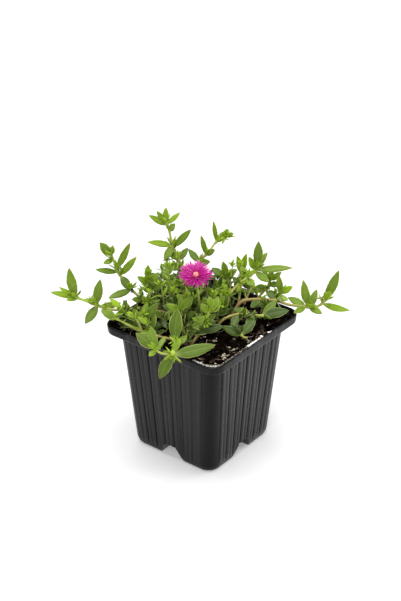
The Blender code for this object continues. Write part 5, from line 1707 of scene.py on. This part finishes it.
def rib_strength(z):
    """How far the ribs stand out at a height: they fade at both ends."""
    return smooth(RIB_BOTTOM, RIB_BOTTOM + RIB_RUN_OUT, z) * (1.0 - smooth(RIB_TOP - RIB_FADE, RIB_TOP, z))


def outside_sections():
    """Outer profile of the pot, from the floor over its collar to the rim."""
    rim_half = POT_WIDTH / 2.0
    step = POT_HEIGHT - LIP_DROP
    low = [
        (FOOT_HALF - 1.4 * MM, 0.0, FOOT_CORNER + 0.6 * MM, 0.0),
        (FOOT_HALF + 1.3 * MM, 0.3 * MM, FOOT_CORNER + 0.6 * MM, 0.0),
        (WALL_FOOT_HALF - 0.2 * MM, 3.6 * MM, WALL_FOOT_CORNER + 0.3 * MM, 0.0),
        (WALL_FOOT_HALF, FOOT_HEIGHT, WALL_FOOT_CORNER, 0.0),
    ]
    sections = [(half, z, corner, rib_strength(z)) for half, z, corner, _ in rounded(low, 3)]
    heights = [between(8.0, 13.0, share / 4.0) * MM for share in range(5)]
    heights += [between(14.0, 79.0, share / 16.0) * MM for share in range(17)]
    heights += [RIB_TOP - RIB_FADE * share for share in (1.0, 0.8, 0.6, 0.45, 0.3, 0.15, 0.0)]
    for z in heights:
        sections.append((wall_half(z), z, wall_corner(z), rib_strength(z)))
    high = [
        (wall_half(step - 0.6 * MM), step - 0.6 * MM, wall_corner(step - 0.6 * MM), 0.0),
        (wall_half(step) + 0.1 * MM, step, wall_corner(step), 0.0),
        (rim_half - 1.2 * MM, step + 0.1 * MM, LIP_CORNER - 0.8 * MM, 0.0),
        (rim_half - 0.3 * MM, step + 0.4 * MM, LIP_CORNER, 0.0),
        (rim_half - 0.1 * MM, POT_HEIGHT - 1.8 * MM, LIP_CORNER, 0.0),
        (rim_half, POT_HEIGHT - 0.1 * MM, LIP_CORNER, 0.0),
        (rim_half - 0.9 * MM, POT_HEIGHT + 0.1 * MM, LIP_CORNER - 0.5 * MM, 0.0),
        (rim_half - 2.2 * MM, POT_HEIGHT - 0.25 * MM, LIP_CORNER - 1.6 * MM, 0.0),
    ]
    return sections + rounded(high)


def inside_sections(gap=0.0):
    """Inner profile of the pot, or of what fills it with a gap all round."""
    bend = FOOT_HEIGHT + 0.3 * MM
    step = POT_HEIGHT - LIP_DROP + LIP_WALL - 0.4 * MM + gap
    inset = WALL + gap
    collar = POT_WIDTH / 2.0 - LIP_WALL - gap
    above = POT_HEIGHT + 2.0 * MM
    low = [
        (FOOT_HALF - inset + 0.2 * MM, WALL + gap, FOOT_CORNER - WALL, 0.0),
        (WALL_FOOT_HALF - inset - 0.9 * MM, 3.6 * MM, WALL_FOOT_CORNER - WALL - 0.2 * MM, 0.0),
        (wall_half(bend) - inset, bend, wall_corner(bend) - WALL, 0.0),
    ]
    high = [
        (wall_half(step - 2.0 * MM) - inset, step - 2.0 * MM, wall_corner(step) - WALL, 0.0),
        (wall_half(step) - inset, step, wall_corner(step) - WALL, 0.0),
        (collar - 0.6 * MM, step + 0.3 * MM, LIP_CORNER - LIP_WALL, 0.0),
        (collar - 0.2 * MM, POT_HEIGHT - 1.0 * MM, LIP_CORNER - LIP_WALL, 0.0),
        (collar + 0.1 * MM, POT_HEIGHT - 0.2 * MM, LIP_CORNER - LIP_WALL, 0.0),
        (collar + 0.3 * MM, above, LIP_CORNER - LIP_WALL, 0.0),
    ]
    return rounded(low, 1) + rounded(high, 1)


def arch_block(along_x, extra):
    """Arched bar through the middle of the base, wider and higher by a margin."""
    half = CHANNEL_WIDTH / 2.0 + extra
    height = CHANNEL_HEIGHT + extra
    flares = CHANNEL_FLARE if along_x else CHANNEL_FLARE[::-1]
    outline = [(-half - flares[1], -2.0 * MM)]
    for step in range(CHANNEL_STEPS + 1):
        angle = math.pi * (1.0 - step / CHANNEL_STEPS)
        z = height * max(0.0, math.sin(angle)) ** CHANNEL_SQUARE
        flare = flares[step * 2 < CHANNEL_STEPS] * clamp(1.0 - z / FLARE_HEIGHT) ** 1.6
        across = half * abs(math.cos(angle)) ** CHANNEL_SQUARE + flare
        outline.append((math.copysign(across, math.cos(angle)), z))
    outline.append((half + flares[0], -2.0 * MM))
    ends = []
    for reach in (-POT_WIDTH, POT_WIDTH):
        ends.append([(reach, a, z) if along_x else (a, reach, z) for a, z in outline])
    return loft("arch", ends)


def upright_cylinder(x, y, low, high, radius):
    """Plain round cutter that stands upright."""
    sides = Vector((1.0, 0.0, 0.0)), Vector((0.0, 1.0, 0.0))
    return loft("cylinder", [circle(Vector((x, y, z)), *sides, radius, 32) for z in (low, high)])


def both_arches(extra):
    """The two arched bars that cross under the pot."""
    return [arch_block(along_x, extra) for along_x in (True, False)]


def make_pot(material):
    """Thin-walled ribbed pot with a stepped collar, hollow feet and drain holes."""
    pot = fine_loft("fine_pot", outside_sections())
    hollow = fine_loft("hollow", inside_sections())
    combine(hollow, "DIFFERENCE", both_arches(WALL))
    combine(pot, "DIFFERENCE", [hollow])
    drains = []
    for x, y in DRAIN_PLACES:
        drains.append(upright_cylinder(x * DRAIN_REACH, y * DRAIN_REACH, *DRAIN_SPAN, DRAIN_RADIUS))
    combine(pot, "DIFFERENCE", both_arches(0.0) + drains)
    settle(pot, material, POT_SHARP)
    dress(pot, "black_plastic", "pot")


def settle(item, material, sharp):
    """Give a cut solid its material and shading."""
    item.data.materials.clear()
    item.data.materials.append(material)
    item.data.shade_smooth()
    item.data.set_sharp_from_angle(angle=math.radians(sharp))


def make_soil(material):
    """Potting mix with a crumbly top that fills the pot."""
    builder = bmesh.new()
    bmesh.ops.create_grid(builder, x_segments=SOIL_CELLS, y_segments=SOIL_CELLS, size=SOIL_HALF)
    for vertex in builder.verts:
        vertex.co.z = soil_top(vertex.co.x, vertex.co.y)
    below = bmesh.ops.extrude_face_region(builder, geom=builder.faces[:])
    lowered = [item for item in below["geom"] if isinstance(item, bmesh.types.BMVert)]
    bmesh.ops.translate(builder, verts=lowered, vec=(0.0, 0.0, -1.2 * POT_HEIGHT))
    soil = object_from("fine_soil", builder)
    combine(soil, "INTERSECT", [fine_loft("filling", inside_sections(0.1 * MM))])
    combine(soil, "DIFFERENCE", both_arches(WALL + 0.1 * MM))
    settle(soil, material, SOIL_SHARP)
    dress(soil, "potting_mix", "soil")


def grain_size(draw, long, wide, high):
    """Half sizes of a grain: its length, and a width and a height as shares of it."""
    return long, long * draw.uniform(*wide), long * draw.uniform(*high)


def lump(growth, place, size, turn, draw, tone, rough=0.22):
    """Irregular grain: a small ball that is squashed, turned and dented."""
    builder = bmesh.new()
    bmesh.ops.create_icosphere(builder, subdivisions=2, radius=1.0)
    spot = Vector((draw.uniform(0.0, 90.0), draw.uniform(0.0, 90.0), 0.0))
    points = []
    for vertex in builder.verts:
        dent = 1.0 + rough * noise.noise(vertex.co * 1.7 + spot) * 2.0
        shaped = Vector((vertex.co.x * size[0], vertex.co.y * size[1], vertex.co.z * size[2])) * dent
        points.append(place + turn @ shaped)
    faces = [tuple(vertex.index for vertex in face.verts) for face in builder.faces]
    builder.free()
    growth.add(points, faces, [(0.5, 0.5, tone, 0.0)] * len(points))


def random_turn(draw, tilt=0.5):
    """Turn about the upright, then a tilt."""
    spin = Matrix.Rotation(draw.uniform(0.0, math.tau), 3, "Z")
    lean = Matrix.Rotation(draw.uniform(-tilt, tilt), 3, "X")
    return spin @ lean


def soil_spot(draw, half=42.3 * MM):
    """Place on the soil, inside the collar."""
    x = draw.uniform(-half, half)
    y = draw.uniform(-half, half)
    over = max(0.0, abs(x) + abs(y) - 2.0 * half + 5.0 * MM)
    x *= 1.0 - over / (2.0 * half)
    y *= 1.0 - over / (2.0 * half)
    return Vector((x, y, soil_top(x, y)))


def scatter_bark(material):
    """Chips of bark and crumbs of peat."""
    draw = random.Random("bark")
    growth = Growth()
    for _ in range(BARK_CHIPS):
        place = soil_spot(draw)
        size = grain_size(draw, draw.uniform(0.5, 2.0) * MM, (0.35, 0.8), (0.25, 0.6))
        tone = draw.random() ** 3.0
        lump(growth, place + UP * size[2] * 0.3, size, random_turn(draw), draw, tone)
    for right, near, count, spread, pale in CHIP_HEAPS:
        for _ in range(count):
            place = seen((right + draw.gauss(0.0, spread), near + draw.gauss(0.0, spread), 0.0))
            place.z = soil_height(place.x, place.y) + draw.uniform(0.2, 1.6) * MM
            size = grain_size(draw, draw.uniform(0.5, 1.3) * MM, (0.3, 0.6), (0.2, 0.4))
            lump(growth, place, size, random_turn(draw, 1.0), draw, pale + draw.uniform(-0.12, 0.05))
    growth.piece("bark_chips", [material], "potting_mix")


def scatter_fibres(material):
    """Thin curved fibres that lie on the soil."""
    draw = random.Random("fibres")
    growth = Growth()
    for _ in range(FIBRES):
        place = soil_spot(draw, 40.0 * MM)
        turn = draw.uniform(0.0, math.tau)
        reach = draw.uniform(2.0, 6.0) * MM
        bend = draw.uniform(-0.5, 0.5)
        points = []
        for step in range(5):
            share = step / 4.0
            spot = place + compass(turn + bend * share) * reach * (share - 0.5)
            points.append(raised(spot, soil_top(spot.x, spot.y) + draw.uniform(0.1, 0.7) * MM))
        radius = draw.uniform(0.1, 0.22) * MM
        stem(growth, smooth_route(points, 2), radius, radius * 0.7, draw.uniform(0.75, 1.0), 5, slot=0)
    growth.piece("peat_fibres", [material], "potting_mix")


def scatter_perlite(material):
    """White perlite: a line of grains along the near inner rim, partly a painted highlight on its edge, and a
    few elsewhere.
    """
    draw = random.Random("perlite")
    growth = Growth()
    for right, near, count, spread, long in PERLITE_DRIFTS:
        for _ in range(count):
            place = seen((right + draw.gauss(0.0, spread), near + draw.gauss(0.0, spread * 0.5), 0.0))
            place.z = soil_top(place.x, place.y)
            size = grain_size(draw, draw.uniform(0.4, 1.0) * long * MM, (0.45, 0.8), (0.4, 0.7))
            lump(growth, place + UP * size[2] * 0.5, size, random_turn(draw, 0.3), draw, 0.5, 0.16)
    # pale grains along the inner rim: partly grit, partly a painted highlight on the rim's inner edge
    for start, end, count, long, tone in RIM_BANKS:
        for _ in range(count):
            place = rim_place(draw.uniform(start, end) * MM, draw.uniform(0.0, 0.9) * MM)
            place.z = POT_HEIGHT - draw.uniform(0.5, 1.3) * MM
            size = grain_size(draw, draw.uniform(0.5, 1.0) * long * MM, (0.5, 0.8), (0.4, 0.7))
            dirt = clamp(tone + draw.uniform(-0.25, 0.25))
            lump(growth, place, size, random_turn(draw, 0.3), draw, dirt, 0.16)
    growth.piece("perlite_grains", [material], "potting_mix")


def rim_place(run, inset):
    """Place along the inside of the rim, a run past the start of its near corner."""
    half = POT_WIDTH / 2.0 - LIP_WALL - 0.9 * MM - inset
    corner = LIP_CORNER - LIP_WALL
    straight = half - corner
    bend = corner * math.pi / 2.0
    if run < 0.0:
        return Vector((straight + run, -half, 0.0))
    if run > bend:
        return Vector((half, run - bend - straight, 0.0))
    angle = run / corner
    return Vector((straight + corner * math.sin(angle), -straight - corner * math.cos(angle), 0.0))


# Studio


def make_floor():
    """Pale floor under everything."""
    mesh = bpy.data.meshes.new("floor")
    square = ((-1.0, -1.0), (1.0, -1.0), (1.0, 1.0), (-1.0, 1.0))
    mesh.from_pydata([(x * FLOOR_REACH, y * FLOOR_REACH, 0.0) for x, y in square], [], [(0, 1, 2, 3)])
    mesh.materials.append(floor_material())
    add_object("floor", mesh)


def make_camera():
    """Camera at the photograph's viewing angle."""
    data = bpy.data.cameras.new("camera")
    data.lens = LENS
    data.sensor_width = SENSOR
    data.sensor_fit = "AUTO"
    data.clip_start = 0.01
    item = add_object("camera", data)
    target = RIGHT * AIM_RIGHT + UP * AIM_UP
    item.location = target + TO_ONLOOKER * CAMERA_DISTANCE
    item.rotation_euler = TO_ONLOOKER.to_track_quat("Z", "Y").to_euler()
    bpy.context.scene.camera = item


def make_light(name, place, power, size):
    """Soft square light that points at the plant."""
    data = bpy.data.lights.new(name, "AREA")
    data.energy = power
    data.size = size
    item = add_object(name, data)
    item.location = seen(place)
    item.rotation_euler = (item.location - LIGHT_AIM).to_track_quat("Z", "Y").to_euler()


def make_studio():
    """World, lights, floor and camera."""
    world = bpy.data.worlds.new("studio")
    bpy.context.scene.world = world
    world.use_nodes = True
    background = world.node_tree.nodes["Background"]
    background.inputs["Color"].default_value = (1.0, 1.0, 1.0, 1.0)
    background.inputs["Strength"].default_value = WORLD_LIGHT
    for name, light in LIGHTS.items():
        make_light(name, *light)
    make_floor()
    make_camera()
    bpy.context.scene.view_settings.view_transform = "Standard"


def main():
    """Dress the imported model."""
    green = [leaf_material(), stem_material()]
    bark = bark_material()
    make_studio()
    make_pot(plastic_material())
    make_soil(earth_material())
    scatter_bark(bark)
    scatter_fibres(bark)
    scatter_perlite(perlite_material())
    grow_petals(petal_material())
    grow_knob(anther_material())
    grow_stalk(green)
    placed = {name: grow_placed(name, plan) for name, plan in SHOOTS.items()}
    for name, parts in (placed | grow_clumps()).items():
        trim(name, green, *parts)
    grow_sprigs(green, [route for _, _, fine, _ in placed.values() for route in fine])
    grow_under(green)


main()
